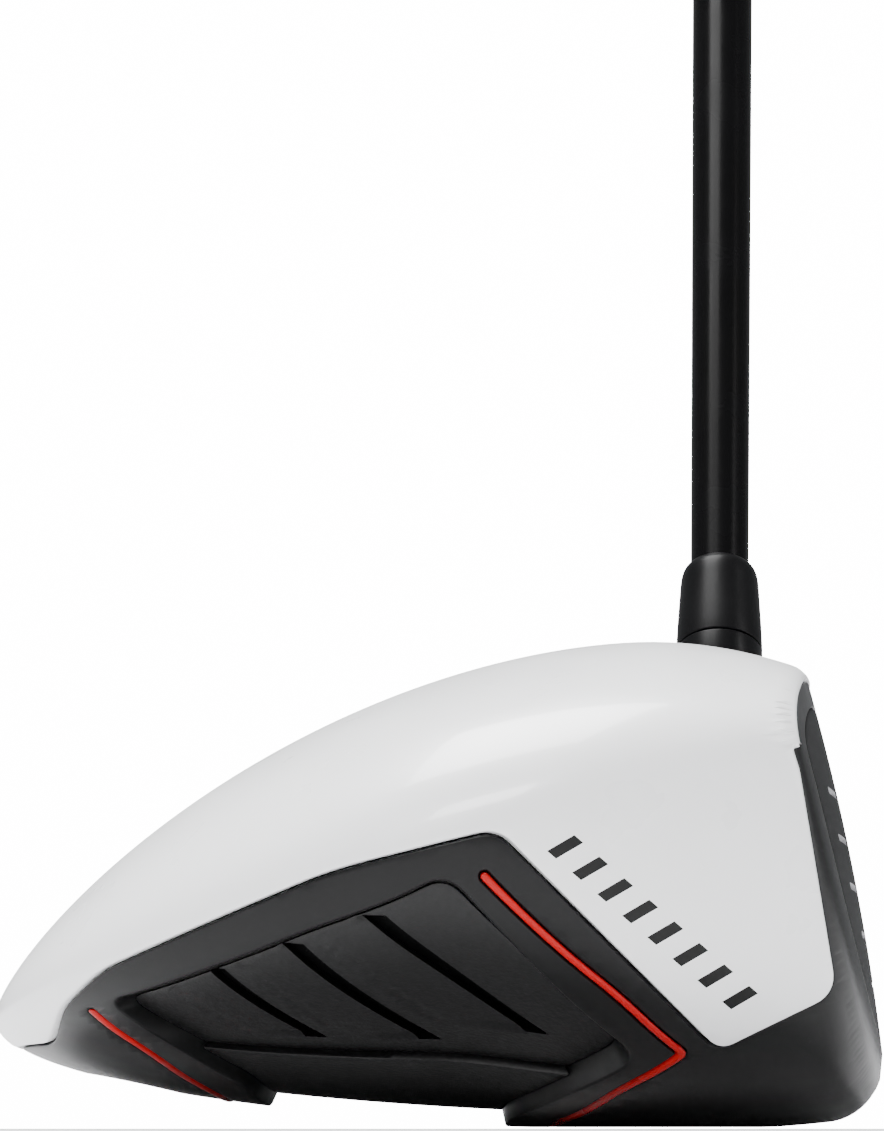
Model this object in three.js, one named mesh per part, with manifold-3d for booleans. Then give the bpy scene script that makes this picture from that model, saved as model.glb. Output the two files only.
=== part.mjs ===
// Golf driver with an adjustable hosel, right-handed, modelled as separate pieces.
// Millimetres. +X is the target direction, -Y the toe, +Z up, and the origin is on the sole's flat land.
import * as THREE from 'three';
import { mergeVertices } from 'three/addons/utils/BufferGeometryUtils.js';
import Module from 'manifold-3d';

const wasm = await Module();
wasm.setup();

// ---- Driving dimensions ----
const GAP = 0.3; // clearance between neighbouring pieces
const LOFT = THREE.MathUtils.degToRad(10.5);
const LIE = THREE.MathUtils.degToRad(60);

// Face surface: a lofted plane with bulge and roll
const FACE_X = 20;
const FACE_Y = -2;
const FACE_Z = 32;
const FACE_RADIUS = 300;

// Head surface
const REAR_X = -94.2;
const REAR_Z = 14.3;
const APEX_X = -7;
const APEX_Z = 63.3;
const SOLE_FLAT_REAR_X = -15;
const SOLE_DIP = 0.25; // how far the curved sole would reach below the flat land
const WIDEST_X = -20;
const TOE_WIDTH = 62;
const HEEL_WIDTH = 61;
const SHOULDER_X = 11.7;
const SHOULDER_Z = 46.7;
const SHOULDER_BOW = 1.5;
const FACE_EDGE_SIDE = 3;
const FACE_EDGE_TOP = 2.6;
const FACE_EDGE_SOLE = 7;

// How the head's outline, crown and sole curve
const TOE_TAPER = 0.0095;
const HEEL_TAPER = 0.0075;
const PLAN_POWERS = [2, 0.55];
const CROWN_POWERS = [1.8, 0.775];
const SOLE_POWERS = [1.5, 0.46];
const CROWN_FRONT_DROP = 0.00925;
const SOLE_FRONT_RISE = 0.0035;
const CROWN_ROUNDNESS = 2.1;
const SOLE_ROUNDNESS_REAR = 1.75;
const SOLE_ROUNDNESS_FRONT = 2.7;
const SOLE_BLEND_FROM = -35;
const SOLE_BLEND_TO = 5;

// Shell thicknesses
const CROWN_PROUD = 0.4;
const CROWN_WALL = 1.2;
const SKIN_WALL = 2.2;
const CROWN_LEDGE = 7;
const CROWN_FRONT_SETBACK = 0.3;
const FACE_PLATE_WALL = 3.2;
const FACE_PLATE_SCALE = 0.93;

// Sole recess with its floor panels, depths measured inward from the head surface
const RECESS_TILT = THREE.MathUtils.degToRad(45);
const PANEL_TOP = 3.4;
const PANEL_BACK = 5.4;
const TRAY_WALL = 1.3;
const RIM_WALL = 1.8;
const KEEL_TOP = 2.2;
const KEEL_WALL = 1.6;
const KEEL_HALF = 26.5;
const KEEL_SEAT_INSET = 3;
const SLOT_DEPTH = 1.5;
const CREASE_DEPTH = 0.5;
const SLOT_WIDTH = 3.2;
const CREASE_WIDTH = 0.9;

// Accent beads
const BEAD_WIDTH = 1;
const BEAD_PROUD = 0.2;
const BEAD_DEPTH = 0.6;

// Hosel and shaft, measured along the shaft axis from where it meets the ground
const AXIS_X = 1;
const AXIS_Y = 26;
const HOSEL_TOP = 73.8;
const SHAFT_TIP_RADIUS = 4.25;
const SHAFT_LOW_TAPER = 0.49;
const SHAFT_LOW_RADIUS = SHAFT_TIP_RADIUS + SHAFT_LOW_TAPER;
const SLEEVE_WALL = 0.65;
const SLEEVE_RADIUS = SHAFT_TIP_RADIUS + GAP + SLEEVE_WALL;
const SLEEVE_LENGTH = 34;
const HOSEL_WALL = 1.4;
const HOSEL_RADIUS = SLEEVE_RADIUS + GAP + HOSEL_WALL;
const HOSEL_BOSS_TOP = 55;
const NECK_FOOT = 40;
// [outside the hosel radius, along the axis]
const NECK_LINE = [[-0.9, 41], [2.1, 45.5], [2.7, 50], [1.5, 57], [0.4, 65], [0, 71]];
const COLLAR_LENGTH = 5.4;
const COLLAR_WALL = 1.75;
const COLLAR_RADIUS = SHAFT_TIP_RADIUS + GAP + COLLAR_WALL;
const SHAFT_LOW_AT = 207;
const SHAFT_BUTT_RADIUS = 7.65;
const SHAFT_WALL = 1.1;
const CLUB_LENGTH = 1156;
const SLEEVE_FLOOR = 5.2;
const FERRULE_LENGTH = 14.5;
const FERRULE_TAPER = 0.6;
const FERRULE_BELLY = [0.15, 4]; // [inside the collar radius, above the foot]
const FERRULE_EDGE = [[0, 1.6], [0.35, 0.6], [0.9, 0]]; // [inside the top radius, below the top]
const PLUG_LENGTH = 10;
const PLUG_SINK = 2;
const GRIP_LENGTH = 268;
const GRIP_MOUTH_WALL = 2.07;
const GRIP_BUTT_WALL = 4.65;
const GRIP_LIP = 0.8;
const GRIP_LIP_LENGTH = 1.2;
const GRIP_SWELL = [60, 14]; // where the grip's swell starts and ends, below its butt
const SHAFT_TOP_SINK = 2;
const TAPE_WALL = 0.3;
const TAPE_MARGIN = 4;
const CAP_WALL = 3.2;
const CAP_CHAMFER = 1.2;
const VENT_RADIUS = 1.6;

// Hosel screw
const SCREW_WEB_AT = 28;
const SCREW_WEB_WALL = 3;
const SCREW_HEAD_RADIUS = 4.2;
const SCREW_HEAD_LENGTH = 5;
const SCREW_RADIUS = 2.3;
const SCREW_END_SPACE = 0.9; // between the screw's end and the shaft's foot
const SCREW_SOCKET_RADIUS = 2.1;
const SCREW_SOCKET_DEPTH = 2.6;
const WASHER_WALL = 0.8;
const KEEPER_RADIUS = 3.6;
const KEEPER_LENGTH = 1.2;

// Rear weight
const WEIGHT_X = -76;
const WEIGHT_Z = 5.6;
const WEIGHT_TILT = THREE.MathUtils.degToRad(11.8);
const WEIGHT_RADIUS = 6.3;
const WEIGHT_LENGTH = 4.4;
const WEIGHT_WALL = 2.2;
const WEIGHT_CHAMFER = 0.4;
const WEIGHT_HOLE_SPARE = 1;
const WEIGHT_SINK = 0.9;
const WEIGHT_SCREW_HEAD = 3;
const WEIGHT_SCREW_HEAD_LENGTH = 2;
const WEIGHT_SCREW_RADIUS = 1.8;
const WEIGHT_SCREW_LENGTH = 10;
const WEIGHT_SOCKET_RADIUS = 1.5;
const WEIGHT_SOCKET_DEPTH = 1.4;

// Cutters reach this far past what they cut, and joined pieces share this much
const PAST = 20;
const PAST_TOP = 5;
const SHARED = 1;
const BEHIND = -110;
const AHEAD = 60;
const BELOW = -60;

const ROUND_STEPS = 24;
const THIN_STEPS = 20;
const HEX_STEPS = 6;

// ---- Head surface ----
function smoothStep(low, high, value) {
  const t = THREE.MathUtils.clamp((value - low) / (high - low), 0, 1);
  return t * t * (3 - 2 * t);
}

function faceX(y, z) {
  const bulge = (y - FACE_Y) ** 2 / (2 * FACE_RADIUS);
  const roll = (z - FACE_Z) ** 2 / (2 * FACE_RADIUS);
  return FACE_X - Math.tan(LOFT) * (z - FACE_Z) - bulge - roll;
}

function signedPower(value, power) {
  return Math.sign(value) * Math.abs(value) ** power;
}

// 1 at the start, falling to 0 at the end, with a curve set by two powers
function fade(from, end, x, [first, second]) {
  const t = THREE.MathUtils.clamp((from - x) / (from - end), 0, 1);
  return (1 - t ** first) ** second;
}

// One point of the cross-section at x. The angle runs heel, crown, toe, sole; inset and edge move inward.
function sectionPoint(x, angle, inset, edge) {
  const rear = REAR_X + inset;
  const plan = fade(WIDEST_X, rear, x, PLAN_POWERS);
  const ahead = Math.max(x - WIDEST_X, 0) ** 2;
  const toe = (TOE_WIDTH - inset) * plan - TOE_TAPER * ahead - edge;
  const heel = (HEEL_WIDTH - inset) * plan - HEEL_TAPER * ahead - edge;
  const crownDrop = CROWN_FRONT_DROP * Math.max(x - APEX_X, 0) ** 2;
  const crownRise = (APEX_Z - inset - REAR_Z) * fade(APEX_X, rear, x, CROWN_POWERS);
  const crown = REAR_Z + crownRise - crownDrop - edge;
  const soleLow = inset - SOLE_DIP;
  const soleRise = (REAR_Z - soleLow) * (1 - fade(SOLE_FLAT_REAR_X, rear, x, SOLE_POWERS));
  const sole = soleLow + soleRise + SOLE_FRONT_RISE * Math.max(x, 0) ** 2 + edge;
  const run = (x - rear) / (SHOULDER_X - rear);
  const bow = SHOULDER_BOW * Math.sin(Math.PI * THREE.MathUtils.clamp(run, 0, 1));
  const shoulder = REAR_Z + (SHOULDER_Z - REAR_Z) * run + bow;
  const up = Math.sin(angle);
  const out = Math.cos(angle);
  const forward = smoothStep(SOLE_BLEND_FROM, SOLE_BLEND_TO, x);
  const soleRoundness = THREE.MathUtils.lerp(SOLE_ROUNDNESS_REAR, SOLE_ROUNDNESS_FRONT, forward);
  const power = 2 / (up >= 0 ? CROWN_ROUNDNESS : soleRoundness);
  const width = out >= 0 ? heel : toe;
  const height = up >= 0 ? crown - shoulder : shoulder - sole;
  return { y: width * signedPower(out, power), z: shoulder + height * signedPower(up, power) };
}

function faceEdgeRadius(angle) {
  const up = Math.sin(angle);
  const towards = up >= 0 ? FACE_EDGE_TOP : FACE_EDGE_SOLE;
  return FACE_EDGE_SIDE + (towards - FACE_EDGE_SIDE) * up * up;
}

function frontX(angle, inset, faceInset) {
  let x = FACE_X;
  for (let turn = 0; turn < 24; turn++) {
    const { y, z } = sectionPoint(x, angle, inset, faceEdgeRadius(angle));
    x = (x + faceX(y, z) - faceInset) / 2;
  }
  return x;
}

// depth 0 is the edge of the face and depth 1 the rear tip
function headPoint(angle, depth, inset, faceInset) {
  const front = frontX(angle, inset, faceInset);
  const x = front + (REAR_X + inset - front) * depth;
  const radius = faceEdgeRadius(angle);
  const left = THREE.MathUtils.clamp((radius - front + x) / radius, 0, 1);
  const edge = radius * (1 - Math.sqrt(1 - left * left));
  const { y, z } = sectionPoint(x, angle, inset, edge);
  return new THREE.Vector3(x, y, z);
}

function facePoint(angle, reach, inset, faceInset) {
  const rim = headPoint(angle, 0, inset, faceInset);
  const y = THREE.MathUtils.lerp(FACE_Y, rim.y, reach);
  const z = THREE.MathUtils.lerp(FACE_Z, rim.z, reach);
  return new THREE.Vector3(faceX(y, z) - faceInset, y, z);
}

const FACE_RINGS = [0, 0.4, 0.75, 1];
const EDGE_DEPTHS = [0.004, 0.012, 0.03];
const SIDE_RINGS = 11;
const HEAD_COLUMNS = 32;

function headRing(row, angle, inset, faceInset) {
  if (row < FACE_RINGS.length) {
    return facePoint(angle, FACE_RINGS[row], inset, faceInset);
  }
  const edgeRow = row - FACE_RINGS.length;
  if (edgeRow < EDGE_DEPTHS.length) {
    return headPoint(angle, EDGE_DEPTHS[edgeRow], inset, faceInset);
  }
  const last = EDGE_DEPTHS[EDGE_DEPTHS.length - 1];
  const t = (edgeRow - EDGE_DEPTHS.length + 1) / SIDE_RINGS;
  return headPoint(angle, last + (1 - last) * Math.sin((Math.PI / 2) * t), inset, faceInset);
}

// The head's closed surface moved inward by inset, and its face moved back by faceInset
function headGeometry(inset, faceInset = inset) {
  const rows = FACE_RINGS.length + EDGE_DEPTHS.length + SIDE_RINGS - 1;
  const columns = HEAD_COLUMNS;
  const geometry = new THREE.SphereGeometry(1, columns, rows);
  const position = geometry.attributes.position;
  for (let row = 0; row <= rows; row++) {
    for (let column = 0; column <= columns; column++) {
      const angle = (2 * Math.PI * (column % columns)) / columns;
      const point = headRing(row, angle, inset, faceInset);
      position.setXYZ(row * (columns + 1) + column, point.x, point.y, point.z);
    }
  }
  return geometry;
}

// ---- Solids ----
function toSolid(source) {
  const copy = source.clone();
  copy.deleteAttribute('normal');
  copy.deleteAttribute('uv');
  const merged = mergeVertices(copy, 1e-4);
  const index = merged.index.array;
  const triangles = [];
  for (let i = 0; i < index.length; i += 3) {
    const [a, b, c] = [index[i], index[i + 1], index[i + 2]];
    if (a !== b && b !== c && a !== c) {
      triangles.push(a, b, c);
    }
  }
  const mesh = new wasm.Mesh({
    numProp: 3,
    vertProperties: new Float32Array(merged.attributes.position.array),
    triVerts: new Uint32Array(triangles),
  });
  const solid = new wasm.Manifold(mesh);
  return solid.volume() < 0 ? toSolid(flipped(source)) : solid;
}

function flipped(source) {
  const geometry = source.index ? source.clone() : mergeVertices(source.clone());
  const index = geometry.index.array;
  for (let i = 0; i < index.length; i += 3) {
    [index[i], index[i + 1]] = [index[i + 1], index[i]];
  }
  return geometry;
}

function heelCopy(source) {
  return flipped(source.clone().scale(1, -1, 1));
}

function join(...solids) {
  return solids.reduce((sum, solid) => sum.add(solid));
}

function cut(base, ...tools) {
  return tools.reduce((rest, tool) => rest.subtract(tool), base);
}

function meet(...solids) {
  return solids.reduce((rest, solid) => rest.intersect(solid));
}

function toGeometry(solid) {
  const mesh = solid.getMesh();
  const geometry = new THREE.BufferGeometry();
  geometry.setAttribute('position', new THREE.BufferAttribute(new Float32Array(mesh.vertProperties), 3));
  geometry.setIndex(new THREE.BufferAttribute(new Uint32Array(mesh.triVerts), 1));
  geometry.computeVertexNormals();
  return geometry;
}

// An outline of [x, v, corner radius] points; a corner without a radius stays sharp
function outlineShape(points) {
  const shape = new THREE.Shape();
  const at = (i) => new THREE.Vector2(...points[(i + points.length) % points.length]);
  points.forEach(([, , radius = 0], i) => {
    const corner = at(i);
    const back = at(i - 1).sub(corner);
    const next = at(i + 1).sub(corner);
    const from = corner.clone().addScaledVector(back.clone().normalize(), radius);
    const to = corner.clone().addScaledVector(next.clone().normalize(), radius);
    shape[i === 0 ? 'moveTo' : 'lineTo'](from.x, from.y);
    if (radius > 0) {
      shape.quadraticCurveTo(corner.x, corner.y, to.x, to.y);
    }
  });
  shape.closePath();
  return shape;
}

// An open path widened to a strip, as outline points
function stripOutline(path, half) {
  const sides = [[], []];
  path.forEach((point, i) => {
    const here = new THREE.Vector2(...point);
    const back = i > 0 ? here.clone().sub(new THREE.Vector2(...path[i - 1])).normalize() : null;
    const next = i < path.length - 1 ? new THREE.Vector2(...path[i + 1]).sub(here).normalize() : null;
    const along = (back ?? next).clone().add(next ?? back).normalize();
    const across = new THREE.Vector2(-along.y, along.x);
    const miter = half / Math.max(0.3, Math.abs(along.dot(back ?? next)));
    sides[0].push(here.clone().addScaledVector(across, miter));
    sides[1].unshift(here.clone().addScaledVector(across, -miter));
  });
  return sides.flat().map((point) => [point.x, point.y]);
}

// Every corner of a closed outline moved outward (or inward) by a distance
function offsetOutline(points, distance) {
  const area = points.reduce((sum, [x, v], i) => {
    const [nextX, nextV] = points[(i + 1) % points.length];
    return sum + (x * nextV - nextX * v) / 2;
  }, 0);
  const side = Math.sign(area) * distance;
  return points.map(([x, v, radius = 0], i) => {
    const here = new THREE.Vector2(x, v);
    const [beforeX, beforeV] = points[(i + points.length - 1) % points.length];
    const [afterX, afterV] = points[(i + 1) % points.length];
    const back = here.clone().sub(new THREE.Vector2(beforeX, beforeV)).normalize();
    const next = new THREE.Vector2(afterX, afterV).sub(here).normalize();
    const normal = new THREE.Vector2(back.y + next.y, -back.x - next.x).normalize();
    const reach = side / Math.max(0.5, normal.dot(new THREE.Vector2(back.y, -back.x)));
    return [x + normal.x * reach, v + normal.y * reach, radius];
  });
}

function prism(points, basis, low, high) {
  const geometry = new THREE.ExtrudeGeometry(outlineShape(points), {
    depth: high - low,
    bevelEnabled: false,
    curveSegments: 5,
  });
  geometry.translate(0, 0, low);
  return geometry.applyMatrix4(basis);
}

// The plane the toe side of the sole is drawn on: X, then up the slope, then outward
const TOE_PLANE = new THREE.Matrix4().makeBasis(
  new THREE.Vector3(1, 0, 0),
  new THREE.Vector3(0, -Math.cos(RECESS_TILT), Math.sin(RECESS_TILT)),
  new THREE.Vector3(0, -Math.sin(RECESS_TILT), -Math.cos(RECESS_TILT)),
);
const SIDE_PLANE = new THREE.Matrix4().makeBasis(
  new THREE.Vector3(1, 0, 0),
  new THREE.Vector3(0, 0, 1),
  new THREE.Vector3(0, -1, 0),
);
const FACE_PLANE = new THREE.Matrix4().makeBasis(
  new THREE.Vector3(0, 1, 0),
  new THREE.Vector3(0, 0, 1),
  new THREE.Vector3(1, 0, 0),
);
const HALF_SPAN = 90;
const PRISM_RISE = 30;

// The same outline on the toe and heel sides, joined across the middle of the sole
function soleCutter(points) {
  const toe = prism(points, TOE_PLANE, -PRISM_RISE, HALF_SPAN);
  return join(toSolid(toe), toSolid(heelCopy(toe)));
}

// The same outline on one side of the sole only: side is 1 for the toe and -1 for the heel
function panelCutter(points, side) {
  const toe = prism(points, TOE_PLANE, -PRISM_RISE, HALF_SPAN);
  return toSolid(side > 0 ? toe : heelCopy(toe));
}

function sideCutter(points) {
  return toSolid(prism(points, SIDE_PLANE, -HALF_SPAN, HALF_SPAN));
}

// Everything behind the face surface moved back by a distance
function behindFace(distance) {
  const cells = 14;
  const geometry = new THREE.BoxGeometry(1, 2 * HALF_SPAN, 2 * HALF_SPAN, 1, cells, cells);
  const position = geometry.attributes.position;
  for (let i = 0; i < position.count; i++) {
    const y = position.getY(i);
    const z = position.getZ(i) + FACE_Z;
    const front = position.getX(i) > 0;
    position.setXYZ(i, front ? faceX(y, z) - distance : REAR_X - HALF_SPAN, y, z);
  }
  return toSolid(geometry);
}

const AXIS_FRAME = new THREE.Matrix4()
  .makeTranslation(AXIS_X, AXIS_Y, 0)
  .multiply(new THREE.Matrix4().makeRotationX(LIE));
const WEIGHT_FRAME = new THREE.Matrix4()
  .makeTranslation(WEIGHT_X, 0, WEIGHT_Z)
  .multiply(new THREE.Matrix4().makeRotationY(WEIGHT_TILT))
  .multiply(new THREE.Matrix4().makeRotationX(Math.PI / 2));

// A turned piece from a closed [radius, along] profile; the lathe's own axis is Y
function turned(profile, frame, steps = ROUND_STEPS) {
  const closed = [...profile, profile[0]];
  const points = closed.map(([radius, along]) => new THREE.Vector2(radius, along));
  return new THREE.LatheGeometry(points, steps).applyMatrix4(frame);
}

function rod(radius, from, to, frame, steps = ROUND_STEPS) {
  return toSolid(turned([[0, from], [radius, from], [radius, to], [0, to]], frame, steps));
}

function onShaft(profile, steps) {
  return toSolid(turned(profile, AXIS_FRAME, steps));
}

// ---- Outlines ----
// White crown with its toe panel, seen from the toe as [x, z]
const CROWN_OUTLINE = [
  [-110, 9.8],
  [-84.3, 11, 1.5],
  [-81.6, 15.4, 1.5],
  [-75.6, 19.8],
  [-61.6, 25],
  [-44.7, 31.4],
  [-24, 36.2, 2.5],
  [2.3, 9.6, 2],
  [16.8, 16.6, 3],
  [12.4, 43.8],
  [11.6, 46.4],
  [60, 80],
  [60, 100],
  [-110, 100],
];
const HEEL_CROWN_OUTLINE = [
  [-110, 9.8],
  [-84.3, 11, 1.5],
  [-81.6, 15.4, 1.5],
  [-75.6, 19.8],
  [-61.6, 25],
  [-44.7, 31.4],
  [-24, 36.2],
  [11.6, 46.4],
  [60, 80],
  [60, 100],
  [-110, 100],
];
// Sole recess on the toe plane as [x, v]
const RECESS_OUTLINE = [
  [-74.8, 37.4, 2.5],
  [-61.9, 47.1],
  [-48.8, 55.5],
  [-36.1, 61.4],
  [-30, 64.6, 3.5],
  [-20.3, 53.2],
  [-7.2, 37, 4],
  [-16.6, 25.3],
  [-25.2, 10.2],
  [-26.8, -2],
  [-57.6, -2],
  [-58.6, 11.8],
  [-59.8, 18],
  [-66.5, 29],
];
const FRONT_ACCENT = [
  [-25.5, 64.3],
  [-9.4, 48.4],
  [-1.8, 37.6],
  [-10.1, 28.2],
  [-19.5, 8.7],
  [-20.8, -1],
];
const REAR_ACCENT = [
  [-77.3, 33.8],
  [-70.6, 25.9],
  [-64.1, 10.6],
  [-63, -1],
];
const LOUVRE_SLOTS = [
  [[-62.1, 47.1], [-49.3, 31.2]],
  [[-51, 53.2], [-33.8, 31.2]],
  [[-39.8, 58.6], [-19.1, 35.9]],
];
const LOUVRE_CREASES = [
  [[-67.7, 41.7], [-58.3, 31.4]],
  [[-57.9, 48.8], [-44.3, 30.8]],
  [[-46.8, 55], [-30, 33.6]],
];
// Score lines on the face as [y, z] of the outer end; each runs towards the middle
const SCORE_LINES = [
  [-31, 42.6],
  [-31, 36.6],
  [-28, 30.6],
  [-22, 24.6],
  [-14, 18.6],
];
const SCORE_LENGTH = 12;
const SCORE_WIDTH = 0.9;
const SCORE_DEPTH = 0.5;

function keelBand(half) {
  return [[BEHIND, -PAST_TOP], [AHEAD, -PAST_TOP], [AHEAD, half], [BEHIND, half]];
}

// ---- Head pieces ----
const shell = (outside, inside) => cut(toSolid(headGeometry(outside)), toSolid(headGeometry(inside)));
const toeHalf = toSolid(new THREE.BoxGeometry(400, 200, 400).translate(0, -100, 0));

function crownZone(grow, setback) {
  const toe = meet(sideCutter(offsetOutline(CROWN_OUTLINE, grow)), toeHalf);
  const heel = cut(sideCutter(offsetOutline(HEEL_CROWN_OUTLINE, grow)), toeHalf);
  return meet(join(toe, heel), behindFace(setback));
}

const neckProfile = (grow) => [
  [0, NECK_FOOT - grow],
  ...NECK_LINE.map(([out, along]) => [HOSEL_RADIUS + out + grow, along]),
  [HOSEL_RADIUS + grow, HOSEL_TOP + grow],
  [0, HOSEL_TOP + grow],
];

// The crown's own surfaces share one face position, so its front edge keeps the full wall
const crownCore = (inset) => toSolid(headGeometry(inset, -CROWN_PROUD));
const crown = cut(
  meet(cut(crownCore(-CROWN_PROUD), crownCore(CROWN_WALL - CROWN_PROUD)), crownZone(0, CROWN_FRONT_SETBACK)),
  onShaft(neckProfile(GAP)),
);

const facePlateOutline = (grow) => {
  const points = [];
  for (let i = 0; i < 40; i++) {
    const rim = headPoint((2 * Math.PI * i) / 40, 0, 0, 0);
    points.push([
      THREE.MathUtils.lerp(FACE_Y, rim.y, FACE_PLATE_SCALE),
      THREE.MathUtils.lerp(FACE_Z, rim.z, FACE_PLATE_SCALE),
    ]);
  }
  return offsetOutline(points, grow);
};
const faceCutter = (grow) => toSolid(prism(facePlateOutline(grow), FACE_PLANE, -10, 60));

function scoreLine(y, z) {
  const x = faceX(y, z);
  const box = new THREE.BoxGeometry(2 * SCORE_DEPTH, SCORE_LENGTH, SCORE_WIDTH);
  return toSolid(box.translate(x, y + SCORE_LENGTH / 2, z));
}
const scoreCutters = SCORE_LINES.flatMap(([y, z]) => [
  scoreLine(y, z),
  scoreLine(2 * FACE_Y - y - SCORE_LENGTH, z),
]);
const facePlate = cut(
  meet(cut(toSolid(headGeometry(0)), behindFace(FACE_PLATE_WALL)), faceCutter(-GAP / 2)),
  ...scoreCutters,
);

const recess = soleCutter(RECESS_OUTLINE);
// Everything lower than a line that runs a little under the head's shoulder
const underShoulder = (drop) => sideCutter([
  [BEHIND, BELOW],
  [AHEAD, BELOW],
  [AHEAD, SHOULDER_Z + 12 - drop],
  [SHOULDER_X, SHOULDER_Z - 2 - drop],
  [REAR_X, REAR_Z - 0.5 - drop],
  [BEHIND, REAR_Z - 4 - drop],
]);
const belowShoulder = underShoulder(0);
const RECESS_DROP = 1;
const recessSpace = meet(recess, underShoulder(RECESS_DROP));
const recessTray = meet(
  shell(0, PANEL_BACK + GAP + TRAY_WALL),
  soleCutter(offsetOutline(RECESS_OUTLINE, RIM_WALL)),
  belowShoulder,
);
const seatBand = soleCutter(keelBand(KEEL_HALF - KEEL_SEAT_INSET));
const floorCore = toSolid(headGeometry(PANEL_BACK + GAP));
const seatCore = meet(toSolid(headGeometry(KEEL_TOP + KEEL_WALL + GAP)), seatBand);
const recessHollow = cut(recessSpace, floorCore, seatCore);

const accentZone = (path, half) => meet(soleCutter(stripOutline(path, half)), belowShoulder);
const aboveGround = toSolid(new THREE.BoxGeometry(600, 400, 400).translate(0, 0, 200));
const accent = (path) =>
  meet(shell(-BEAD_PROUD, BEAD_DEPTH), accentZone(path, BEAD_WIDTH / 2), aboveGround);
const accentGroove = (path) =>
  meet(shell(-2, BEAD_DEPTH + GAP), accentZone(path, BEAD_WIDTH / 2 + GAP));

const weightBoss = meet(
  rod(
    WEIGHT_RADIUS + GAP + WEIGHT_WALL,
    -PAST,
    WEIGHT_SINK + WEIGHT_LENGTH + WEIGHT_SCREW_LENGTH,
    WEIGHT_FRAME,
  ),
  toSolid(headGeometry(0)),
);
const weightPocket = join(
  rod(WEIGHT_RADIUS + GAP, -PAST, WEIGHT_SINK + WEIGHT_LENGTH + GAP, WEIGHT_FRAME),
  rod(
    WEIGHT_SCREW_RADIUS + GAP / 2,
    0,
    WEIGHT_SINK + WEIGHT_SCREW_LENGTH + WEIGHT_HOLE_SPARE,
    WEIGHT_FRAME,
    THIN_STEPS,
  ),
);

const hoselBoss = join(
  meet(rod(HOSEL_RADIUS, -PAST, HOSEL_BOSS_TOP, AXIS_FRAME), toSolid(headGeometry(0))),
  onShaft(neckProfile(0)),
);
const sleeveFoot = HOSEL_TOP - SLEEVE_LENGTH;
const hoselBore = join(
  rod(SLEEVE_RADIUS + GAP, SCREW_WEB_AT + SCREW_WEB_WALL, HOSEL_TOP + PAST_TOP, AXIS_FRAME),
  rod(SCREW_RADIUS + GAP, 0, HOSEL_TOP, AXIS_FRAME, THIN_STEPS),
  rod(SCREW_HEAD_RADIUS + 2 * GAP, -PAST, SCREW_WEB_AT, AXIS_FRAME),
);

const body = meet(
  cut(
    join(
      cut(
        shell(0, SKIN_WALL),
        cut(crownZone(GAP, CROWN_FRONT_SETBACK - GAP), crownCore(CROWN_WALL - CROWN_PROUD + GAP)),
        crownZone(-CROWN_LEDGE, CROWN_LEDGE + CROWN_FRONT_SETBACK),
        recessSpace,
      ),
      cut(recessTray, recessHollow),
      weightBoss,
      hoselBoss,
    ),
    faceCutter(GAP / 2),
    accentGroove(FRONT_ACCENT),
    accentGroove(REAR_ACCENT),
    weightPocket,
    hoselBore,
  ),
  aboveGround,
);

function groove(path, width, depth, side) {
  return meet(shell(0, PANEL_TOP + depth), panelCutter(stripOutline(path, width / 2), side));
}
const solePanel = (side) => cut(
  meet(
    shell(PANEL_TOP, PANEL_BACK),
    cut(
      panelCutter(offsetOutline(RECESS_OUTLINE, -GAP), side),
      panelCutter(keelBand(KEEL_HALF + GAP), side),
    ),
    underShoulder(RECESS_DROP + GAP),
  ),
  ...LOUVRE_SLOTS.map((path) => groove(path, SLOT_WIDTH, SLOT_DEPTH, side)),
  ...LOUVRE_CREASES.map((path) => groove(path, CREASE_WIDTH, CREASE_DEPTH, side)),
);
const keel = meet(
  shell(KEEL_TOP, KEEL_TOP + KEEL_WALL),
  soleCutter(offsetOutline(RECESS_OUTLINE, -GAP)),
  soleCutter(keelBand(KEEL_HALF)),
  belowShoulder,
);

// ---- Shaft pieces ----
const collarFoot = HOSEL_TOP + GAP;
const collarTop = collarFoot + COLLAR_LENGTH;
const shaftFoot = sleeveFoot + SLEEVE_FLOOR + GAP;
const shaftBore = SHAFT_TIP_RADIUS + GAP;
const sleeve = onShaft([
  [SCREW_RADIUS + GAP / 2, sleeveFoot],
  [SLEEVE_RADIUS, sleeveFoot],
  [SLEEVE_RADIUS, collarFoot],
  [COLLAR_RADIUS, collarFoot],
  [COLLAR_RADIUS, collarTop],
  [shaftBore, collarTop],
  [shaftBore, shaftFoot - GAP],
  [SCREW_RADIUS + GAP / 2, shaftFoot - GAP],
]);
const ferruleFoot = collarTop + GAP;
const ferruleTop = ferruleFoot + FERRULE_LENGTH;
const ferrule = onShaft([
  [shaftBore, ferruleFoot],
  [COLLAR_RADIUS, ferruleFoot],
  [COLLAR_RADIUS - FERRULE_BELLY[0], ferruleFoot + FERRULE_BELLY[1]],
  ...FERRULE_EDGE.map(([inside, below]) => [COLLAR_RADIUS - FERRULE_TAPER - inside, ferruleTop - below]),
  [shaftBore, ferruleTop],
]);

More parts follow.
